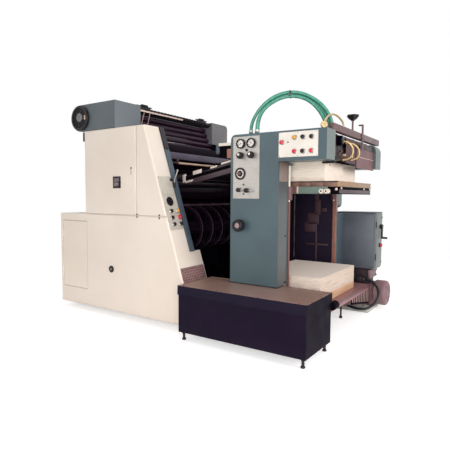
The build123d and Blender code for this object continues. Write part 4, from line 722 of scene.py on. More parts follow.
# operator column: hand knob, lock, edge moulding, side plate and the rubber strip round its foot
column = {"knob": (2150, 208, 952), "rubberX": (2034, 2490), "rubberFront": 203, "rubberZ": (457, 465)}
(rubberLeft, rubberRight), (rubberLow, rubberHigh) = column["rubberX"], column["rubberZ"]
rubberFront = column["rubberFront"]
columnPieces = {
    "column_side_plate": ("sidePlate", "teal_paint", [((2484, 214, 1313), (2487.5, 385, 1468), 1)], []),
    "column_rubber_and_lock": ("blackPhenolic", "black_plastic", [
        ((rubberLeft, rubberFront, rubberLow), (rubberRight, 208, rubberHigh), 1.5),
        ((2485, rubberFront, rubberLow), (rubberRight, 321, rubberHigh), 1.5),
        ((rubberLeft, rubberFront, rubberLow), (2039, 321, rubberHigh), 1.5)],
        [((2484, 349, 870), (2489, 349, 870), 9, 20), ((2484, 349, 486), (2494, 349, 486), 8, 6)]),
    "column_edge_moulding": ("columnEnamel", "teal_paint", [
        ((2484, 211, 470), (2488, 228, 1468), 1.6), ((2484, 373, 470), (2488, 384, 1440), 1.6)], []),
}


def dressColumn():
    rim = [(0, 0), (32, 0), (32, 20), (48, 24), (51, 30), (51, 66), (48, 76), (40, 81), (30, 81), (23, 77),
           (22, 72), (0, 72)]
    black = [revolve(rim, column["knob"], toOperator, 120, 20, 2.5)]
    face = [revolve([(0, 71), (21.5, 71), (21.5, 74), (12, 76), (0, 77)], column["knob"], toOperator, 40)]
    makePiece("column_knob_rim", black, "blackPhenolic", "black_plastic", replaced=("column_knob",))
    makePiece("column_knob_face", face, "knobFace", "brown_paint")
    plainPieces(columnPieces)


dressColumn()
print("feeder panels and column dressed")

# ink unit: motor with guard rings, fountain with its keys and levers, beams and bars between the frames
inkUnit = {
    "motor": (366, 0, 1965), "motorRadius": 125, "guardRings": (86, 70, 54), "covers": (341, 1579),
    "fountain": [(749, 2072), (763, 2039.5), (809, 2039.5), (837, 2064), (837, 2086), (809, 2086),
                 (795, 2053.5), (777, 2053.5), (763, 2072)],
    "key": (837, 2075), "keyCount": 20, "keySpan": (431, 1489), "levers": (431, 1404), "leverLong": 110,
    "sheetRod": (1461, 1106), "sheetRodCollars": range(330, 1600, 210),
    "guideBars": [(1361, 1286.5, 16, 24), (1190, 1440, 13, 18), (1285, 1345, 13, 18), (1330, 1210, 13, 18)]}
inkPieces = {
    "ink_motor_clip": ("pinkEnamel", "cream_paint", [((438, -25, 1941), (458, -8, 1989), 7)], []),
    "ink_blade_bar": ("palePink", "steel", [((835, 349, 2048), (843, 1032, 2065), 2)], []),
    "ink_blade_rods": ("wornTread", "steel", [], [
        ((846, y, 2040), (886, y - 86, 1894), 4, 14) for y in (407, 491)]),
    # painted shade: a black sheet between the ink covers at the delivery end stands in for the shade behind
    # the rollers
    "ink_shade_sheet": ("innerBlack", "black_paint", [((690, 345, 1838), (695, 1575, 2092), 1.5)], []),
    "tie_beam": ("beamEnamel", "slate_paint", [((1210, frameNear, 1550), (1280, frameFar, 1614), 5)], [],
                 "press", ("tie_bars",)),
    "finger_guard": ("pinkEnamel", "cream_paint", [], [((1292, 405, 1512), (1292, frameFar, 1512), 10, 24)]),
    "finger_guard_hanger": ("darkRust", "brown_paint", [((1284, 384, 1500), (1304, 408, 1552), 3)],
                            [((1292, frameNear, 1512), (1292, 405, 1512), 8, 18)]),
    "sheet_guide_bars": ("innerBlack", "black_paint", [((2039, 387, 1446), (2079, 1533, 1492), 3)], [
        ((x, frameNear, z), (x, frameFar, z), r, sides) for x, z, r, sides in inkUnit["guideBars"]]),
    # painted shade: black sheets across the unit on the delivery side of the cylinders stand in for the shade
    # inside the press
    "inner_shade_sheet": ("innerBlack", "black_paint", [
        ((838, frameNear + 3, 1000), (842, frameFar - 3, 1700), 1),
        ((884, frameNear + 3, 345), (888, frameFar - 3, 1004), 1)], []),
    "rail_pin_and_bracket": ("blackPhenolic", "black_paint", [((388, 2, 1733), (411, 16, 1822), 3)],
                             [((1290, 222, 1634), (1322, 222, 1634), 9, 20)]),
}
# skeleton drum: a thin plum band round the rim of each of its nine discs, a painted highlight standing in for
# the light the rims catch
drum = {"centre": np.array((1461, 0, 889)), "discs": 9, "inset": 62, "highlightRadii": (203, 206.4), "highlightWide": 9}


def dressInkMotor():
    motor = inkUnit["motor"]
    r = inkUnit["motorRadius"]
    rim = [(0, 0), (r, 0), (r, 20), (r - 3, 24), (r - 10, 27), (r - 20, 27), (r - 26, 24),
           (r - 28, 10), (0, 10)]
    black = [revolve(rim, motor, toOperator, 72)]
    for radius in inkUnit["guardRings"]:  # guard rings over the fan
        ring = [(radius - 3, 16), (radius + 3, 16), (radius + 3, 21), (radius - 3, 21), (radius - 3, 16)]
        black.append(revolve(ring, motor, toOperator, 60))
    spoke = roundedBlock((34, -4, 9), (98, 4, 17), 1.5)
    black += [leaned(spoke, motor, *facing(angle + 20)) for angle in range(0, 360, 60)]
    makePiece("ink_motor_housing", black, "blackPhenolic", "black_paint", replaced=("ink_motor",))
    hub = [(0, 9), (44, 9), (44, 20), (40, 24), (16, 25), (14, 27), (0, 27)]
    makePiece("ink_motor_hub", [revolve(hub, (364, 0, 1971), toOperator, 44)], "farEnamel", "slate_paint")


def dressFountain():
    trough = prism(inkUnit["fountain"], *inkUnit["covers"])
    makePiece("ink_trough", trough, "blackenedSteel", "steel", replaced=("ink_fountain",))
    first, last = inkUnit["keySpan"]
    key = [(0, 0), (7, 0), (7, 7), (10, 9), (10, 20), (8, 22), (0, 22)]
    x, z = inkUnit["key"]
    count = inkUnit["keyCount"]
    places = [first + (last - first) * (i + 0.5) / count for i in range(count)]
    keys = [revolve(key, (x, y, z), toFeeder, 36, 9, 1.6) for y in places]
    makePiece("ink_keys", keys, "blackenedSteel", "steel")
    long = inkUnit["leverLong"]
    lever = blocks([
        ((816, -long * 0.8, 2076), (830, long * 0.8, 2104), 3), ((815, -long, 2102), (831, long, 2111), 3),
        ((809, -43, 2109), (837, 43, 2123.8), 3)])
    lever.append(hexBolt((837, 0, 2104), toFeeder, 5, 6))
    levers = [copies(part, (0, y, 0)) for y in inkUnit["levers"] for part in lever]
    makePiece("ink_blade_levers", levers, "blackPhenolic", "black_paint")


def dressDrum():
    x, z = inkUnit["sheetRod"]
    collar = [(8, 0), (12, 0), (12, 26), (8, 26)]
    rust = [rod((x, frameNear, z), (x, frameFar, z), 8, 20)]
    rust += [revolve(collar, (x, y, z), toDrive, 24) for y in inkUnit["sheetRodCollars"]]
    makePiece("drum_sheet_rod", rust, "darkRust", "brown_paint")
    discs = np.linspace(frameNear + drum["inset"], frameFar - drum["inset"], drum["discs"])
    # painted highlights: bands round the disc rims
    radii, wide = drum["highlightRadii"], drum["highlightWide"]
    highlights = [ringBand(drum["centre"] + np.array((0, y, 0)), toDrive, *radii, wide, 120) for y in discs]
    makePiece("drum_rim_painted_highlights", highlights, "rimHighlightEnamel", "brown_paint", "drum")


dressInkMotor()
dressFountain()
dressDrum()
plainPieces(inkPieces)
print("ink unit dressed")

# feed board: dark sheet, side plates below and guides on top, press wheels on arms from a cross bar
feedBoard = {
    "low": (1289, 1380), "high": (2039, 1538), "near": 480, "far": 1440, "plate": 36, "guide": 22, "foot": 60,
    # a guide's row: its two ends, low and high side over the slope, start beside the edge, radius
    "guides": {
        "brown": [(1705, 1958, -2, 8, 0, 2)],
        "cream": [(1421, 1527, -14, 24, -2, 3), (1629, 1704, -2, 14, -2, 3), (1753, 1861, 6, 24, -2, 3)],
        "black": [(1338, 1420, 0, 20, 0, 2), (1528, 1628, 0, 22, 0, 2), (1960, 2039, 0, 22, 0, 2)]},
    "wheels": [564 + 198 * i for i in range(5)], "wheel": (1640, 1484, 26), "arm": (1620, 1900, 36, 46),
    "creamBlocks": [((1858, 285, 1629), (2039, 315, 1655), 4)],
    "blackBlocks": [((1858, 287, 1618), (2039, 313, 1630), 3), ((1728, 484, 1556), (1896, 500, 1648), 4),
                    ((1878, 484, 1508), (1902, 498, 1562), 3), ((1878, 1422, 1508), (1902, 1436, 1562), 3)],
    "crossBar": [((1890, 488, 1550), (1890, 1432, 1550), 11, 18)]}
feedPieces = {
    "column_lug": ("primerPost", "post_steel", [((1943, 290, 1521), (2039, 310, 1602), 4)], []),
    "feed_board_stay": ("slateEnamel", "slate_paint", [((1690, 482, 1584), (1732, 502, 1674), 4)], []),
}


def onBoard(x0, x1, below, above, y0, y1, radius=2):  # a bar that lies along the slope of the board
    (lowX, lowZ), (highX, highZ) = feedBoard["low"], feedBoard["high"]
    points, faces = roundedBlock((x0, y0, below), (x1, y1, above), radius)
    points[:, 2] += lowZ + (points[:, 0] - lowX) * (highZ - lowZ) / (highX - lowX)
    return points, faces


def dressFeedBoard():
    low, high = feedBoard["low"][0], feedBoard["high"][0]
    near, far, plate, guide, foot = (feedBoard[key] for key in ("near", "far", "plate", "guide", "foot"))
    sheet = [onBoard(low, high, -18, 0, near, far, 3)]
    makePiece("feed_board_sheet", sheet, "boardBlack", "black_paint", replaced=("feed_board",))
    parts = {"cream": blocks(feedBoard["creamBlocks"]), "brown": [],
             "black": blocks(feedBoard["blackBlocks"]) + bars(feedBoard["crossBar"])}
    feet = np.linspace(low, high - foot, 4)
    for y, edge in ((near, near), (far - plate, far - guide)):
        for colour, rows in feedBoard["guides"].items():
            parts[colour] += [onBoard(x0, x1, below, above, edge + start, edge + guide, radius)
                              for x0, x1, below, above, start, radius in rows]
        parts["brown"].append(onBoard(low, high, -92, -46, y, y + plate, 3))
        parts["black"] += [onBoard(x, x + foot, -46, -18, y, y + plate) for x in feet]
        parts["cream"].append(onBoard(low + 3, low + 42, -62, 20, y - 3, y + plate, 3))
        parts["cream"].append(onBoard(low + 40, low + 132, -72, -54, y - 4, y + 4, 2))
    x, z, radius = feedBoard["wheel"]
    for y in feedBoard["wheels"]:
        parts["black"].append(onBoard(*feedBoard["arm"], y - 5, y + 5, 2))
        parts["black"].append(rod((x, y - 9, z), (x, y + 9, z), radius, 28))
    makePiece("feed_board_brackets", parts["cream"], "creamEnamel", "cream_paint")
    makePiece("feed_board_plates", parts["brown"], "taupeEnamel", "brown_paint")
    makePiece("feed_board_wheels", parts["black"], "innerBlack", "black_paint")
    plainPieces(feedPieces)


dressFeedBoard()
print("feed board dressed")

# paper piles: lifts of sheets, each pushed in by up to 1.6 mm on its four sides with a slow wave along them
def paperLifts(low, high, count, seed):
    chance = np.random.default_rng(seed)
    low, high = np.array(low, float), np.array(high, float)
    side = np.linspace(0, 1, 24, endpoint=False)
    u = np.concatenate([side, 0 * side + 1, 1 - side, 0 * side])
    v = np.concatenate([0 * side, side, 0 * side + 1, 1 - side])
    size = high - low
    levels = np.linspace(low[2], high[2] - 1.2, count + 1)
    rings = [np.stack([0 * u + low[0] + size[0] / 2, 0 * u + low[1] + size[1] / 2, 0 * u + low[2]], 1)]
    for bottom, top in zip(levels, levels[1:]):
        left, right, front, back = chance.uniform(0, 1.6, 4)
        wave = 0.4 + 0.4 * np.sin(2 * np.pi * (u + v) * chance.integers(1, 4) + chance.uniform(0, 6))
        x = low[0] + left + (size[0] - left - right) * u + wave * (1 - 2 * u)
        y = low[1] + front + (size[1] - front - back) * v + wave * (1 - 2 * v)
        rings += [np.stack([x, y, 0 * x + z], 1) for z in (bottom + 0.25, top - 0.25)]
    for share in (0.7, 0.35, 0.0):  # the top sheet, lifted a little between its edge and its middle
        x = low[0] + size[0] * (0.5 + (u - 0.5) * share)
        y = low[1] + size[1] * (0.5 + (v - 0.5) * share)
        rings.append(np.stack([x, y, high[2] - 0.7 + 0.5 * np.sin(5 * u + 3 * v + 9 * share)], 1))
    return np.concatenate(rings), gridFaces(len(rings), len(u))


piles = {
    "upper": ((2092, 559.5, 1320), (2732, 1360.5, 1488), 15, 3),  # two corners, number of lifts, seed
    "lower": ((2092, 514, 357), (2732, 1406, 515), 14, 8),
    "board": ((2080, 505, 1275), (2870, 1415, 1320)), "planks": 7, "plankGap": 0.3, "plankSeam": 2850,
    "skid": ((2092, 514, 290), (2732, 1406, 357)), "bearer": 96, "slat": 90, "endGap": 22.5}


def dressPiles():
    upper, lower = [paperLifts(*piles["upper"])], [paperLifts(*piles["lower"])]
    # the upper pile's paper is painted brighter, standing in for light in the shade under the head
    makePiece("paper_lifts_upper", upper, "freshPaper", "paper", "pile_lift", ("paper_pile_upper",))
    makePiece("paper_lifts_lower", lower, "paper", "paper", replaced=("paper_pile_lower",))
    (x0, y0, z0), (x1, y1, z1) = piles["board"]
    seam, gap = piles["plankSeam"], piles["plankGap"]
    seams = np.linspace(x0, seam, piles["planks"] + 1)
    dark = [roundedBlock((left + gap, y0, z0), (right - gap, y1, z1), 2)
            for left, right in zip(seams, seams[1:])]
    makePiece("pile_board_planks", dark, "stainedTimber", "board_wood", "pile_lift", ("pile_board",))
    end = [roundedBlock((seam + gap, y0 + 1, z0), (x1, y1, z1), 4)]
    makePiece("pile_board_end_planks", end, "boardTimber", "board_wood", "pile_lift")
    # painted shadow: a black strip along the board's near top edge stands in for the shadow line there
    strip = [roundedBlock((x0 + 6, y0 - 2, z1 - 8), (x1 - 4, y0 + 7, z1 + 1), 2)]
    makePiece("pile_board_painted_shadow_strip", strip, "blackPhenolic", "black_paint", "pile_lift")
    (x0, y0, z0), (x1, y1, z1) = piles["skid"]
    bearer, slat, inner = piles["bearer"], piles["slat"], x1 - piles["endGap"]
    skid = [roundedBlock((x0, y0 + 6, z1 - 20), (inner, y1 - 6, z1), 2)]  # deck boards on five bearers
    skid += [roundedBlock((x0 + 3, y, z0), (inner, y + bearer, z1 - 20.4), 2)
             for y in np.linspace(y0, y1 - bearer, 5)]
    skid += [roundedBlock((x, y0 + 8, z0), (x + slat, y1 - 8, z0 + 20), 2)
             for x in np.linspace(x0 + 4, x1 - 114, 4)]
    skid.append(roundedBlock((x1 - 22, y0, z0), (x1, y1, z1), 2))
    makePiece("skid_boards", skid, "skidTimber", "skid_wood", replaced=("lower_skid",))


# lift: posts with clamps, carriage sleeves and rollers, chain beside the far post, panel behind it
lift = {
    "postX": 2475, "posts": ((430, -1), (1490, 1)), "postRadius": 12, "low": 290, "high": 1448,
    "paleFrom": 1150, "sleeveLow": 1164, "chain": (2026, 1516, 530, 1240, 25), "endBolts": (560, 1180, 1360),
    "rollerX": (2793, 2751), "rollerZ": 1238,
    "panelBars": [(2254, 2321, 1000, 1160), (2176, 2304, 900, 1014), (2334, 2390, 1031, 1072),
                  (2143, 2283, 813, 915), (2268, 2286, 300, 820), (2160, 2409, 674, 692),
                  (2254, 2300, 1150, 1420)]}
liftPieces = {
    "lift_far_channel": ("primerPost", "post_steel", [((2455, 1522, 290), (2495, 1531, 1444), 2)], []),
    "lift_shoe_plate": ("brownEnamel", "brown_paint", [((2480, 448, 1219), (2534, 456, 1276), 2)], [],
                        "pile_lift"),
    "lift_shoe_edge": ("pinkEnamel", "post_steel", [((2534, 447, 1219), (2546, 456, 1276), 2)], [],
                       "pile_lift"),
    "lift_roller_pins": ("blackPhenolic", "black_paint", [], [
        ((x, 431, lift["rollerZ"]), (x, 434, lift["rollerZ"]), 8, 20) for x in lift["rollerX"]], "pile_lift"),
    # painted shadow: black strips on the carriage beam's near face and round the end bar stand in for the
    # shade under the board
    "lift_painted_shadow_strips": ("innerBlack", "black_paint", [
        ((2180, 526, 1221), (2868, 531.5, 1274), 2), ((2869, 520, 1252), (2873, 1400, 1274), 1.5),
        ((2869, 526, 1214), (2874, 1392, 1222), 1.5), ((2800, 525, 1214), (2872, 531, 1222), 1.5)], [],
        "pile_lift"),
    "lift_end_bar": ("taupeEnamel", "steel", [((2869, 532, 1220), (2875, 1388, 1252), 2)], [], "pile_lift"),
    "inner_panel": ("panelViolet", "black_paint", [((1925, 1529, 292), (2450, 1533, 1440), 1.5)], []),
    "inner_panel_bars": ("darkRust", "brown_paint", [
        ((x0, 1524, z0), (x1, 1530, z1), 2) for x0, x1, z0, z1 in lift["panelBars"]], []),
}


def chainRun(x, y, low, high, pitch):  # roller chain: rollers on pins, with inner and outer plates in turn
    count = int((high - low) / pitch)
    pins = [(0, 0, pitch * i) for i in range(count)]
    parts = [copies(rod((x, y - 7, low), (x, y + 7, low), 4.6, 10), pins)]
    for first, out in ((0, 4.5), (1, 7)):
        plate = roundedBlock((x - 5, -1.2, low - 5), (x + 5, 1.2, low + pitch + 5), 1)
        rises = [(0, y + side * out, pitch * i) for i in range(first, count - 1, 2) for side in (-1, 1)]
        parts.append(copies(plate, rises))
    return parts


def dressLift():
    x, radius, low, high = (lift[key] for key in ("postX", "postRadius", "low", "high"))
    posts, paleTops, clamps, sleeves, rollers = [], [], [], [], []
    foot = [(12, 0), (26, 0), (26, 16), (22, 20), (12, 20)]
    sleeve = [(13, 0), (27.5, 0), (27.5, 112), (13, 112), (13, 0)]
    for y, out in lift["posts"]:
        # the upper part of each post is drawn cream and 2 mm slimmer
        posts.append(rod((x, y, low), (x, y, lift["paleFrom"]), radius, 24, 0.05))
        paleTops.append(rod((x, y, lift["paleFrom"]), (x, y, high), radius - 2, 24, 0.05))
        front, back = sorted((y - 24 * out, y + 43 * out))
        clamps.append(roundedBlock((x - 24, front, high), (x + 24, back, high + 22), 4))
        clamps.append(revolve(foot, (x, y, low), upright, 28))
        sleeves.append(revolve(sleeve, (x, y, lift["sleeveLow"]), upright, 32))
        front, back = sorted((y - 2 * out, y - 50 * out))
        z = lift["rollerZ"]
        rollers += [rod((rx, front, z), (rx, back, z), 19.8, 28) for rx in lift["rollerX"]]
    makePiece("lift_posts", posts, "rustEnamel", "post_steel", replaced=("guide_posts",))
    makePiece("lift_post_clamps", clamps, "columnEnamel", "teal_paint")
    makePiece("lift_sleeves", sleeves, "brownEnamel", "brown_paint", "pile_lift")
    makePiece("lift_rollers", rollers, "creamEnamel", "cream_paint", "pile_lift")
    makePiece("lift_posts_pale_tops", paleTops, "creamEnamel", "post_steel")
    makePiece("lift_chain", chainRun(*lift["chain"]), "inkySteel", "steel")
    # the end bolts' pale pink heads stand in for glints of light on them: a painted highlight
    bolts = [hexBolt((2873, y, 1263), toFeeder, 6, 6) for y in lift["endBolts"]]
    bolts.append(hexBolt((2846, 526, 1256), toOperator, 7, 5))
    makePiece("lift_end_bolts_painted_glint", bolts, "palePink", "steel", "pile_lift")
    plainPieces(liftPieces)


dressPiles()
dressLift()
print("piles and lift dressed")

# suction head: clamps, springs and cups of the suckers, air rail, hose clips, bent pipe and small fittings
head = {
    "suckerX": 2673, "suckerYs": [640 + 128 * i for i in range(6)], "springZ": (1536, 1602),
    "cupZ": (1513, 1519, 1525), "front": 2821,
    "suckerPipe": [(0, 1634), (0, 1660), (14, 1684), (44, 1696), (84, 1697), (112, 1697)],
    "airRail": (2788, 1697), "airRailY": (622, 1500), "airRailClips": (640, 860, 1080, 1300, 1490),
    "hoseClips": [(2800, 531, 1712), (2764, 502, 1712), (2770, 562, 1712),
                  (2180, 298, 1736), (2240, 292, 1736), (2222, 338, 1736)],
    "hoseBand": ((2484, 406, 2025), (76, 33, 10), 31, 33.5, 12, 40),
    "pipe": [(2804, 345, 1704), (2804, 343, 1748), (2804, 374, 1792), (2804, 436, 1828), (2804, 516, 1851),
             (2808, 596, 1853), (2816, 660, 1836), (2828, 700, 1804), (2832, 710, 1758)],
    "knob": (2850, 882, 1846), "disc": (2873, 575, 1648), "beamClamps": (420, 700, 980, 1240, 1500),
    "darkBlocks": [
        ((2787, 545, 1492), (2833, 772, 1606), 7), ((2791, 874, 1500), (2829, 930, 1606), 5),
        ((2821, 462, 1520), (2837, 536, 1676), 5), ((2776, 382, 1453), (2879, 402, 1469), 4),
        ((2857, 992, 1630), (2863, 1531, 1656), 2)]}
headPieces = {
    "head_rail_bar": ("railEnamel", "brown_paint", [
        ((2825, 372, 1703), (2875, 1653, 1760), 5), ((2875, 1055, 1610), (2887, 1085, 1838), 4),
        ((2845, 1055, 1826), (2887, 1085, 1838), 4)], [((2850, 882, 1758), (2850, 882, 1850), 8, 20)],
        "press", ("head_rail",)),
    # painted shadow: the wing is a darker brown, standing in for the head rail's shadow on it
    "guard_plate_wing": ("wingEnamel", "brown_paint", [((2846.5, 730, 1478), (2849.5, 1533, 1683), 1)], []),
    "head_pale_fittings": ("pinkEnamel", "cream_paint", [((2857, 994, 1546), (2860, 1530, 1551), 1)], [
        ((2831, 703, 1540), (2855, 703, 1540), 11, 20), ((2827, 901, 1540), (2851, 901, 1540), 12, 20),
        ((2831, 746, 1515), (2847, 746, 1515), 7, 16), ((2836, 398, 1432), (2836, 398, 1471), 5, 14)]),
    "head_red_fittings": ("rustEnamel", "brown_paint", [], [
        ((2831, y, z), (2847, y, z), 9, 18) for y, z in ((592, 1545), (640, 1568), (664, 1512))]),
}


def dressSuckers(steel, rubber, dark):
    x = head["suckerX"]
    turns = np.linspace(0, 14 * np.pi, 112)
    bellow = [(13, 0), (20, 2), (20, 3.5), (13, 5.5)]
    for y in head["suckerYs"]:
        rise = np.linspace(*head["springZ"], len(turns))
        coil = np.stack([x + 17 * np.cos(turns), y + 17 * np.sin(turns), rise], 1)
        steel.append(tubeThrough(coil, 1.8, 6))
        rubber += [revolve(bellow, (x, y, z), upright, 24) for z in head["cupZ"]]
        dark.append(roundedBlock((x - 18, y - 19, 1602), (x + 18, y + 19, 1637), 4))
        steel.append(hexBolt((x - 18, y, 1620), (-1, 0, 0), 6, 7))
        bend = [(x + out, y, z) for out, z in head["suckerPipe"]]
        rubber.append(tubeThrough(smoothPath(bend, 5), 6, 10))
    x, z = head["airRail"]
    first, last = head["airRailY"]
    rubber.append(rod((x, first, z), (x, last, z), 14, 20))
    steel += [ringBand((x, y, z), toDrive, 13, 17, 12, 24) for y in head["airRailClips"]]


def dressHead():
    steel, rubber, dark = [], [], []
    dressSuckers(steel, rubber, dark)
    steel += [ringBand(spot, upright, 14, 17, 12) for spot in head["hoseClips"]]
    rubber.append(ringBand(*head["hoseBand"]))
    brass = [tubeThrough(smoothPath(head["pipe"]), 8, 14), rod((2812, 322, 1703), (2812, 322, 1730), 9)]
    whistle = [(0, 0), (27, 0), (27, 15), (22, 20), (11, 20), (10, 12), (0, 12)]
    brass.append(revolve(whistle, (2812, 316, 1740), (0.5, -0.86, 0), 32))
    front = head["front"]
    dark += blocks(head["darkBlocks"])
    for y in head["beamClamps"]:
        dark.append(roundedBlock((front - 68, y - 24, 1604), (front + 4, y + 24, 1684), 5))
    steel += [hexBolt((front + 4, y, 1645), toFeeder, 8, 8) for y in head["beamClamps"][1:]]
    disc = [(0, 0), (30, 0), (30, 2), (26, 4), (10, 4), (8, 7), (0, 7)]
    rubber.append(revolve(disc, head["disc"], toFeeder, 36))
    knob = [(0, 0), (14, 0), (16, 6), (34, 16), (50, 34), (53, 44), (50, 50), (42, 49), (30, 43), (14, 40),
            (14, 56), (0, 59)]
    dark.append(revolve(knob, head["knob"], upright, 96, 6, 6))
    makePiece("head_clamps_and_knob", dark, "blackPhenolic", "black_paint")
    makePiece("head_steel_fittings", steel, "groundSteel", "steel")
    makePiece("head_rubber_pipes", rubber, "darkHose", "black_plastic")
    makePiece("head_brass_pipe", brass, "lacqueredBrass", "tube_cream")
    plainPieces(headPieces)


dressHead()
print("suction head dressed")

# footboard and kick plate: raised lozenges turned two ways, angle trim on the rim, ball feet on the legs
footboard = {
    "x": (1763, 2905), "y": (-162, 323), "top": 458, "trimWide": 12, "columnX": (2038, 2486),
    "legs": [(x, y) for x in (1802, 2866) for y in (-123, 284)],
    "kickY": (14, 337), "kickZ": (429, 560), "kickFace": 5, "lozengePitch": 22}


def dressKickPlate():
    (y0, y1), (z0, z1) = footboard["kickY"], footboard["kickZ"]
    pitch, face = footboard["lozengePitch"], footboard["kickFace"]
    lozenge = roundedBlock((-9.5, -3, -1.5), (9.5, 3, 2.2), 1.5)
    lozenges = []
    for row in range(int((z1 - z0) / pitch / math.cos(lean))):
        for col in range(int((y1 - y0) / pitch)):
            turn = math.radians(45 if (row + col) % 2 else -45)
            across = math.cos(turn) * np.array(slopeAcross) + math.sin(turn) * np.array(slopeUp)
            up = math.cos(turn) * np.array(slopeUp) - math.sin(turn) * np.array(slopeAcross)
            base = slopePoint(y0 + pitch * (col + 0.5), z0 + 7 + pitch * (row + 0.5) * math.cos(lean), face)
            lozenges.append(leaned(lozenge, base, across, up, slopeOut))
    corners = [(y, z) for y in (y0 + 10, y1 - 10) for z in (z0 + 9, z1 - 9)]
    screws = [screwHead(slopePoint(y, z, face), slopeOut, 6) for y, z in corners]
    makePiece("kick_plate_lozenges", lozenges + screws, "wornTread", "tread_plate")


def dressFootboard():
    (x0, x1), (y0, y1), top = footboard["x"], footboard["y"], footboard["top"]
    x0, x1, y0, y1 = x0 + 1, x1 - 1, y0 + 1, y1 - 1  # the trim lies just inside the rim
    wide = footboard["trimWide"]
    left, right = footboard["columnX"]
    trim = [(x0, y0, x1, y0 + wide), (x0, y0, x0 + wide, y1), (x1 - wide, y0, x1, y1),
            (x0, y1 - wide, left, y1), (right, y1 - wide, x1, y1)]
    trim = [roundedBlock((a, b, top - 3), (c, d, top + 2), 1.6) for a, b, c, d in trim]
    makePiece("footboard_rim_trim", trim, "brownLacquer", "footboard_brown")
    ball = [(0, 0), (11, 0), (17, 4), (18, 9), (15, 16), (11, 20), (0, 21)]
    feet = [revolve(ball, (x, y, 0), upright, 24) for x, y in footboard["legs"]]
    feet += [revolve(capProfile(17, 12, 6, 14), (x, y, 56), upright, 6) for x, y in footboard["legs"]]
    spots = [(x, y0 + 6) for x in (x0 + 59, 2150, 2520, x1 - 59)]
    spots += [(x, y) for x in (x0 + 6, x1 - 6) for y in (-60, 120, 270)]
    screws = [screwHead((x, y, top + 2), upright, 5) for x, y in spots]
    makePiece("footboard_feet_and_screws", feet + screws, "blackPhenolic", "steel")


# cabinet behind the feeder: door panels, a side sheet painted as the shade in the gap by the column, lid,
# hinges and push button
cabinet = {"right": 2836, "button": (1919, 675), "lid": [((2400, 1769, 1022), (2839, 2019, 1030), 2.5)],
           "hinges": [((2838, 1782, z - 34), (2838, 1782, z + 34), 6) for z in (560, 900)],
           "stops": [((2840, 1992, z), (2846, 1992, z), 8, 18) for z in (486, 972)]}
cabinetPieces = {
    "cabinet_door_panels": ("cabinetEnamel", "teal_paint", [
        ((2834, 1786, 446), (2841, 2008, 1012), 2.5), ((2425, 1768, 452), (2814, 1774, 1006), 2.5)], []),
    # painted shade: a slate sheet fills the gap between the column and the cabinet, standing in for the shade
    # in that gap
    "cabinet_side_shade_sheet": ("slateEnamel", "teal_paint", [((2485.5, 1592, 440), (2489, 1770, 1020), 1)], []),
}


def dressCabinet():
    x, (y, z) = cabinet["right"], cabinet["button"]
    dark = blocks(cabinet["lid"]) + bars(cabinet["hinges"] + cabinet["stops"])
    dark.append(revolve(capProfile(24, 6, 4, 10), (x + 5, y, z), toFeeder, 32))
    makePiece("cabinet_fittings", dark, "blackPhenolic", "black_plastic")
    button = [revolve(buttonProfile(18, 22), (x + 6, y, z), toFeeder, 30)]
    makePiece("cabinet_push_button", button, "redPlastic", "button_plastic")
    plainPieces(cabinetPieces)


# air pump: finned body, cowl with grooves round its nose, valve box with a bolted flange, base plate
pump = {
    "axis": (1888, 170), "body": (2520, 2830, 106), "fins": 12, "fin": (120, 7), "cowl": 132, "cowlRound": 30,
    "grooves": (84, 62, 40), "end": 2950, "flangeX": 2792, "flangeY": (1769, 2007), "flangeZ": (323, 418),
    "clips": [(2506, 1560, 80), (2738, 1735, 320)],
    "boxes": [((2770, 1769, 323), (2792, 2007, 418), 5), ((2565, 1798, 28), (2620, 1978, 150), 6),
              ((2775, 1798, 28), (2830, 1978, 150), 6), ((2600, 1834, 28), (2800, 1942, 120), 6)]}
pumpPieces = {
    # painted shade: the box between the cabinet and the pile is near black, standing in for the shade that
    # falls there
    "pump_box_in_painted_shade": ("oilyPump", "pump_paint", [
        ((2520, 1793, 170), (2770, 1983, 418), 8), ((2658, 1704, 289), (2720, 1800, 351), 10),
        ((2534, 1800, 417), (2756, 1976, 424), 3)], []),
    "pump_base_plate": ("baseEnamel", "pump_paint", [((2490, 1590, 0), (2830, 1978, 30), 5)], []),
}


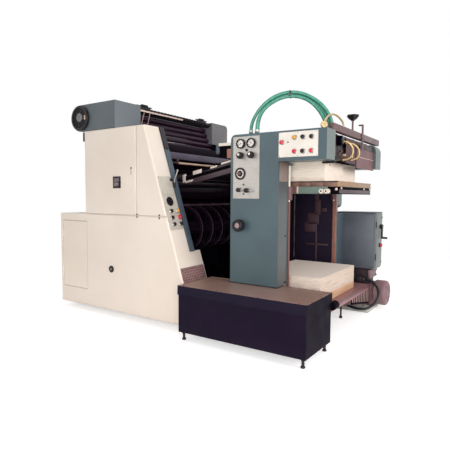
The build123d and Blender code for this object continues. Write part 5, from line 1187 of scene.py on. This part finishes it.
def dressPump():
    (y0, y1), (z0, z1) = pump["flangeY"], pump["flangeZ"]
    spots = [(y, z) for y in (y0 + 18, (y0 + y1) / 2, y1 - 18) for z in (z0 + 18, z1 - 18)]
    bolts = [hexBolt((pump["flangeX"], y, z), toFeeder, 8, 9) for y, z in spots]
    bolts += [hexBolt((x, y, 30), upright, 9, 10) for x in (2560, 2740) for y in (1640, 1740)]
    bolts += [ringBand(spot, toFeeder, 14, 17, 12) for spot in pump["clips"]]
    makePiece("pump_bolts_and_clips", bolts, "groundSteel", "steel")
    x0, x1, inner = pump["body"]
    outer, wide = pump["fin"]
    pitch = (x1 - x0) / pump["fins"]
    finned = [(0, 0), (inner, 0)]
    for i in range(pump["fins"]):
        start = pitch * (i + 0.5) - wide / 2
        finned += [(inner, start), (outer - 1.5, start + 0.5), (outer, start + 2), (outer, start + wide - 2),
                   (outer - 1.5, start + wide - 0.5), (inner, start + wide)]
    parts = [revolve(finned + [(inner, x1 - x0), (0, x1 - x0)], (x0, *pump["axis"]), toFeeder, 64)]
    cowl, deep, bend = pump["cowl"], pump["end"] - x1, pump["cowlRound"]
    turns = np.linspace(np.pi / 2, 0, 7)
    nose = [(cowl - bend + bend * math.sin(a), deep - bend + bend * math.cos(a)) for a in turns]
    for radius in pump["grooves"]:
        nose += [(radius + 6, deep), (radius + 4, deep - 5), (radius - 4, deep - 5), (radius - 6, deep)]
    parts.append(revolve([(0, 0), (cowl, 0)] + nose + [(0, deep)], (x1, *pump["axis"]), toFeeder, 72))
    parts += blocks(pump["boxes"])
    parts += [hexBolt((x, y, 424), upright, 7, 8) for x in (2550, 2740) for y in (1816, 1960)]
    makePiece("pump_body_and_box", parts, "pumpEnamel", "pump_paint", replaced=("air_pump",))
    plainPieces(pumpPieces)


dressKickPlate()
dressFootboard()
dressCabinet()
dressPump()
print("footboard, cabinet and pump dressed")

# feeder platform: red brown rim, shelf, slanted grille under its end, foot rail and the small hoist drum
platform = {"end": 2815, "under": 238, "grille": (1150, 1648), "bars": 10, "grilleLow": (196, 104),
            "hoistDrum": ((2903, 318, 350), (2903, 405, 350), 33, 32, 0.1)}
platformPieces = {
    "platform_rim": ("brownEnamel", "brown_paint", [((2811, 390, 262), (2818, 1660, 292), 2)], []),
    "platform_shelf": ("platformEnamel", "brown_paint", [((2500, 1529, 238), (2813, 1660, 290), 3)], []),
}


def dressPlatform():
    end, top = platform["end"], platform["under"] + 2
    first, last = platform["grille"]
    left, right = platform["grilleLow"]
    count = platform["bars"]
    half = (last - first) / (count - 1) / 2
    ribs, dark = [], [rod((end - 10, first - 40, left - 4), (end - 10, last + 6, right - 4), 10, 20)]
    for y, low in zip(np.linspace(first, last, count), np.linspace(left, right, count)):
        ribs.append(roundedBlock((end - 10, y - 8, low), (end - 6, y + 8, top), 1.5))
        # painted shade: dark plates behind the grille ribs stand in for the shade in the grille's gaps
        dark.append(roundedBlock((end - 16, y - half, low), (end - 12, y + half, top), 1.5))
    dark += bars([platform["hoistDrum"]])
    makePiece("platform_grille", ribs, "wornTread", "brown_paint")
    makePiece("platform_foot_rail_drum_and_shade_backing", dark, "innerBlack", "black_paint")
    plainPieces(platformPieces)


dressPlatform()

# drive side: louvred doors with hinges and handles, round blank cover
driveSide = {"face": 1920, "doors": [(70, 112, 780, 950), (840, 112, 1460, 950), (450, 1050, 1170, 1790)],
             "louvres": 9, "louvrePitch": 26, "louvreLong": 300, "handleLong": 96, "handleIn": 46,
             "plate": (352, 1966.5, 118), "plateBoltsIn": 20}


def dressDriveSide():
    face, long, half = driveSide["face"], driveSide["louvreLong"], driveSide["handleLong"] / 2
    panels, dark, steel = [], [], []
    rises = [(0, 0, driveSide["louvrePitch"] * i) for i in range(driveSide["louvres"])]
    for x0, z0, x1, z1 in driveSide["doors"]:
        panels.append(roundedBlock((x0, face - 2, z0), (x1, face + 4, z1), 2.5))
        start = (x0 + x1 - long) / 2
        louvre = roundedBlock((start, face - 4, z1 - 330), (start + long, face + 11, z1 - 318), 5.5)
        panels.append(copies(louvre, rises))
        hinge = rod((x0 - 2, face + 4, -34), (x0 - 2, face + 4, 34), 7, 18)
        steel += [copies(hinge, (0, 0, z)) for z in (z0 + 130, z1 - 130)]
        x, middle = x1 - driveSide["handleIn"], (z0 + z1) / 2
        rows = ((3, -half), (26, 8 - half), (30, 0), (26, half - 8), (3, half))
        dark.append(tubeThrough(smoothPath([(x, face + out, middle + up) for out, up in rows], 6), 7, 12))
        rosette = capProfile(13, 4, 4, 6)
        dark += [revolve(rosette, (x, face + 4, middle + up), toDrive, 22) for up in (-half, half)]
        corners = [(x, z) for x in (x0 + 18, x1 - 18) for z in (z0 + 18, z1 - 18)]
        steel += [screwHead((x, face + 4, z), toDrive, 6) for x, z in corners]
    x, z, r = driveSide["plate"]
    reach = r - driveSide["plateBoltsIn"]
    for a in np.radians(np.arange(0, 360, 60)):
        steel.append(hexBolt((x + reach * math.cos(a), face + 8, z + reach * math.sin(a)), toDrive, 8, 8))
    makePiece("drive_side_doors", panels, "creamEnamel", "cream_paint")
    makePiece("drive_side_handles", dark, "blackPhenolic", "black_plastic")
    makePiece("drive_side_hinges_and_bolts", steel, "groundSteel", "steel")
    blank = [revolve(capProfile(r, 5, 4, 8), (x, face, z), toDrive, 56)]
    makePiece("drive_side_blank_cover", blank, "farEnamel", "slate_paint")


# delivery end: chains on sprockets, gripper bars and guide rails
delivery = {
    "upper": (610, 1090, 82, 26), "lower": (80, 900, 62, 20),  # place, radius and teeth of the sprockets
    "chainIn": 24, "chainPitch": 25, "barAt": (0.1, 0.42, 0.74), "fingers": range(330, 1620, 105),
    "railZ": (560, 700), "railX": (40, 830)}


# a sprocket: a disc whose rim rises and falls as r + 4 cos(n t), with a hub on both sides
def sprocket(x, y, z, radius, teeth):
    disc, quads = revolve([(0, -4), (radius, -4), (radius, 4), (0, 4)], (x, y, z), toDrive, teeth * 6)
    rim = np.hypot(disc[:, 0] - x, disc[:, 2] - z)
    turn = np.arctan2(disc[:, 2] - z, disc[:, 0] - x)
    grown = np.where(rim > 1, 1 + 4 * np.cos(teeth * turn) / np.maximum(rim, 1), 1)
    disc[:, 0] = x + (disc[:, 0] - x) * grown
    disc[:, 2] = z + (disc[:, 2] - z) * grown
    return [(disc, quads), rod((x, y - 14, z), (x, y + 14, z), radius * 0.32, 24)]


def dressDelivery():
    (ux, uz, ur, upperTeeth), (lx, lz, lr, lowerTeeth) = delivery["upper"], delivery["lower"]
    run = np.array([ux - lx, uz - lz], float)
    across = np.array([-run[1], run[0]]) / np.linalg.norm(run)
    steel, dark = [rod((ux, frameNear, uz), (ux, frameFar, uz), 17, 24)], []
    inset = delivery["chainIn"]
    railLeft, railRight = delivery["railX"]
    for y, out in ((frameNear + inset, 1), (frameFar - inset, -1)):
        steel += sprocket(ux, y, uz, ur, upperTeeth) + sprocket(lx, y, lz, lr, lowerTeeth)
        steel.append(rod((lx, y - inset * out, lz), (lx, y + 10 * out, lz), 14, 20))
        for side in (-1, 1):
            top, low = np.array([ux, uz]) + side * ur * across, np.array([lx, lz]) + side * lr * across
            length = np.linalg.norm(top - low)
            along = (top - low) / length
            reach = np.linspace(0, length, int(length / delivery["chainPitch"]) + 1)
            links = [(low[0] + along[0] * far, y, low[1] + along[1] * far) for far in reach]
            dark.append(copies(rod((0, -7, 0), (0, 7, 0), 6, 10), links))
            bar = leaned(roundedBlock((0, -5, -1.2), (length, 5, 1.2), 1), (low[0], y, low[1]),
                         (along[0], 0, along[1]), (-along[1], 0, along[0]), toOperator)
            dark.append(copies(bar, [(0, -6, 0), (0, 6, 0)]))
        front, back = sorted((y - inset * out, y + 12 * out))
        steel += [roundedBlock((railLeft, front, z), (railRight, back, z + 22), 3) for z in delivery["railZ"]]
    for share in delivery["barAt"]:  # gripper bars with their fingers, where the chains run above the pile
        x, z = ux - 120 * share + 40, uz + ur + 14 - 34 * share
        steel.append(rod((x, frameNear + 32, z), (x, frameFar - 32, z), 11, 18))
        dark += [roundedBlock((x - 26, y - 9, z - 20), (x + 4, y + 9, z - 6), 3) for y in delivery["fingers"]]
    makePiece("delivery_shafts_and_rails", steel, "inkySteel", "steel")
    makePiece("delivery_chains_and_grippers", dark, "blackenedSteel", "steel")


dressDriveSide()
dressDelivery()
print("drive side and delivery dressed")

# studio: pale floor, soft key from the feeder side, wide fill from the operator side
studio = {
    "floorSize": 60.0, "floorColour": "#e6e4e2", "floorGlow": 0.55, "nearM": 2.5, "farM": 6.5,
    "worldLight": 0.5,
    # each light has its place, what it looks at, its size and its power, in metres and watts
    "lights": {
        "key_light": ((6.0, -1.0, 2.6), (0.4, 0.0, 0.9), 2.5, 158.0),
        "front_light": ((2.8, -4.6, 1.3), (0.5, 0.0, 0.8), 2.5, 124.0),
        "fill_light": ((-3.2, -5.5, 2.6), (0.0, 0.0, 0.9), 3.5, 47.0),
        "top_light": ((0.0, 0.5, 5.5), (0.0, 0.0, 1.0), 4.0, 55.0)}}


def seenStraight(tree):  # one for rays from the camera, a mirror or a clear body, zero for scattered light
    path = addNode(tree, "ShaderNodeLightPath").outputs
    seen = addNode(tree, "ShaderNodeMath", {0: path["Is Camera Ray"], 1: path["Is Glossy Ray"]},
                   operation="MAXIMUM")
    seen = addNode(tree, "ShaderNodeMath", {0: seen.outputs["Value"], 1: path["Is Transmission Ray"]},
                   operation="MAXIMUM")
    return seen.outputs["Value"]


def buildFloor():
    half = studio["floorSize"] / 2
    mesh = bpy.data.meshes.new("studio_floor")
    corners = [(-half, -half, 0), (half, -half, 0), (half, half, 0), (-half, half, 0)]
    mesh.from_pydata(corners, [], [(0, 1, 2, 3)])
    floor = bpy.data.objects.new("studio_floor", mesh)
    bpy.context.scene.collection.objects.link(floor)
    # white far off, keeps the shadow near by
    material, tree, shader, coords = newMaterial("pale_studio_floor")
    away = addNode(tree, "ShaderNodeVectorMath", {0: coords}, operation="LENGTH").outputs["Value"]
    fade = addNode(tree, "ShaderNodeMapRange", {
        "Value": away, "From Min": studio["nearM"], "From Max": studio["farM"]}).outputs["Result"]
    shader.inputs["Roughness"].default_value = 0.9
    shader.inputs["Specular IOR Level"].default_value = 0.0
    tone = layered(tree, fade, 0.0, 1.0, toLinear(studio["floorColour"]), "#000000")
    tree.links.new(tone, shader.inputs["Base Color"])
    glow = addNode(tree, "ShaderNodeMapRange", {"Value": fade, "To Min": studio["floorGlow"]})
    glow = addNode(tree, "ShaderNodeMath", {0: glow.outputs["Result"], 1: seenStraight(tree)},
                   operation="MULTIPLY")
    tree.links.new(glow.outputs["Value"], shader.inputs["Emission Strength"])
    shader.inputs["Emission Color"].default_value = (1, 1, 1, 1)
    mesh.materials.append(material)


def buildLights():
    world = bpy.data.worlds.new("studio_world")
    bpy.context.scene.world = world
    world.use_nodes = True
    tree = world.node_tree
    tree.nodes.clear()
    strength = addNode(tree, "ShaderNodeMapRange", {
        "Value": seenStraight(tree), "To Min": studio["worldLight"]})
    sky = addNode(tree, "ShaderNodeBackground", {
        "Color": (1, 1, 1, 1), "Strength": strength.outputs["Result"]})
    addNode(tree, "ShaderNodeOutputWorld", {"Surface": sky.outputs["Background"]})
    for name, (spot, aim, size, power) in studio["lights"].items():
        lamp = bpy.data.lights.new(name, "AREA")
        lamp.size = size
        lamp.energy = power
        lampObject = bpy.data.objects.new(name, lamp)
        lampObject.location = spot
        lampObject.rotation_euler = (Vector(aim) - Vector(spot)).to_track_quat("-Z", "Y").to_euler()
        bpy.context.scene.collection.objects.link(lampObject)


# camera found from the straight edges of the press: position in drawing millimetres, angles in degrees
view = {"eyeMm": (4063.2, -2889.6, 1200.0), "yaw": 33.88, "pitch": 3.89, "roll": 0.33, "lens": 34.88}


def setCamera():
    camera = bpy.data.cameras.new("photo_camera")
    camera.sensor_width = 36
    camera.lens = view["lens"]
    camera.clip_end = 200
    holder = bpy.data.objects.new("photo_camera", camera)
    turn = Matrix.Rotation(math.radians(view["yaw"]), 4, "Z")
    tilt = Matrix.Rotation(math.radians(90 - view["pitch"]), 4, "X")
    roll = Matrix.Rotation(math.radians(view["roll"]), 4, "Z")
    holder.matrix_world = Matrix.Translation(place(*view["eyeMm"])) @ turn @ tilt @ roll
    bpy.context.scene.collection.objects.link(holder)
    bpy.context.scene.camera = holder


buildFloor()
buildLights()
setCamera()
bpy.context.scene.view_settings.view_transform = "Standard"
print("studio and camera set")
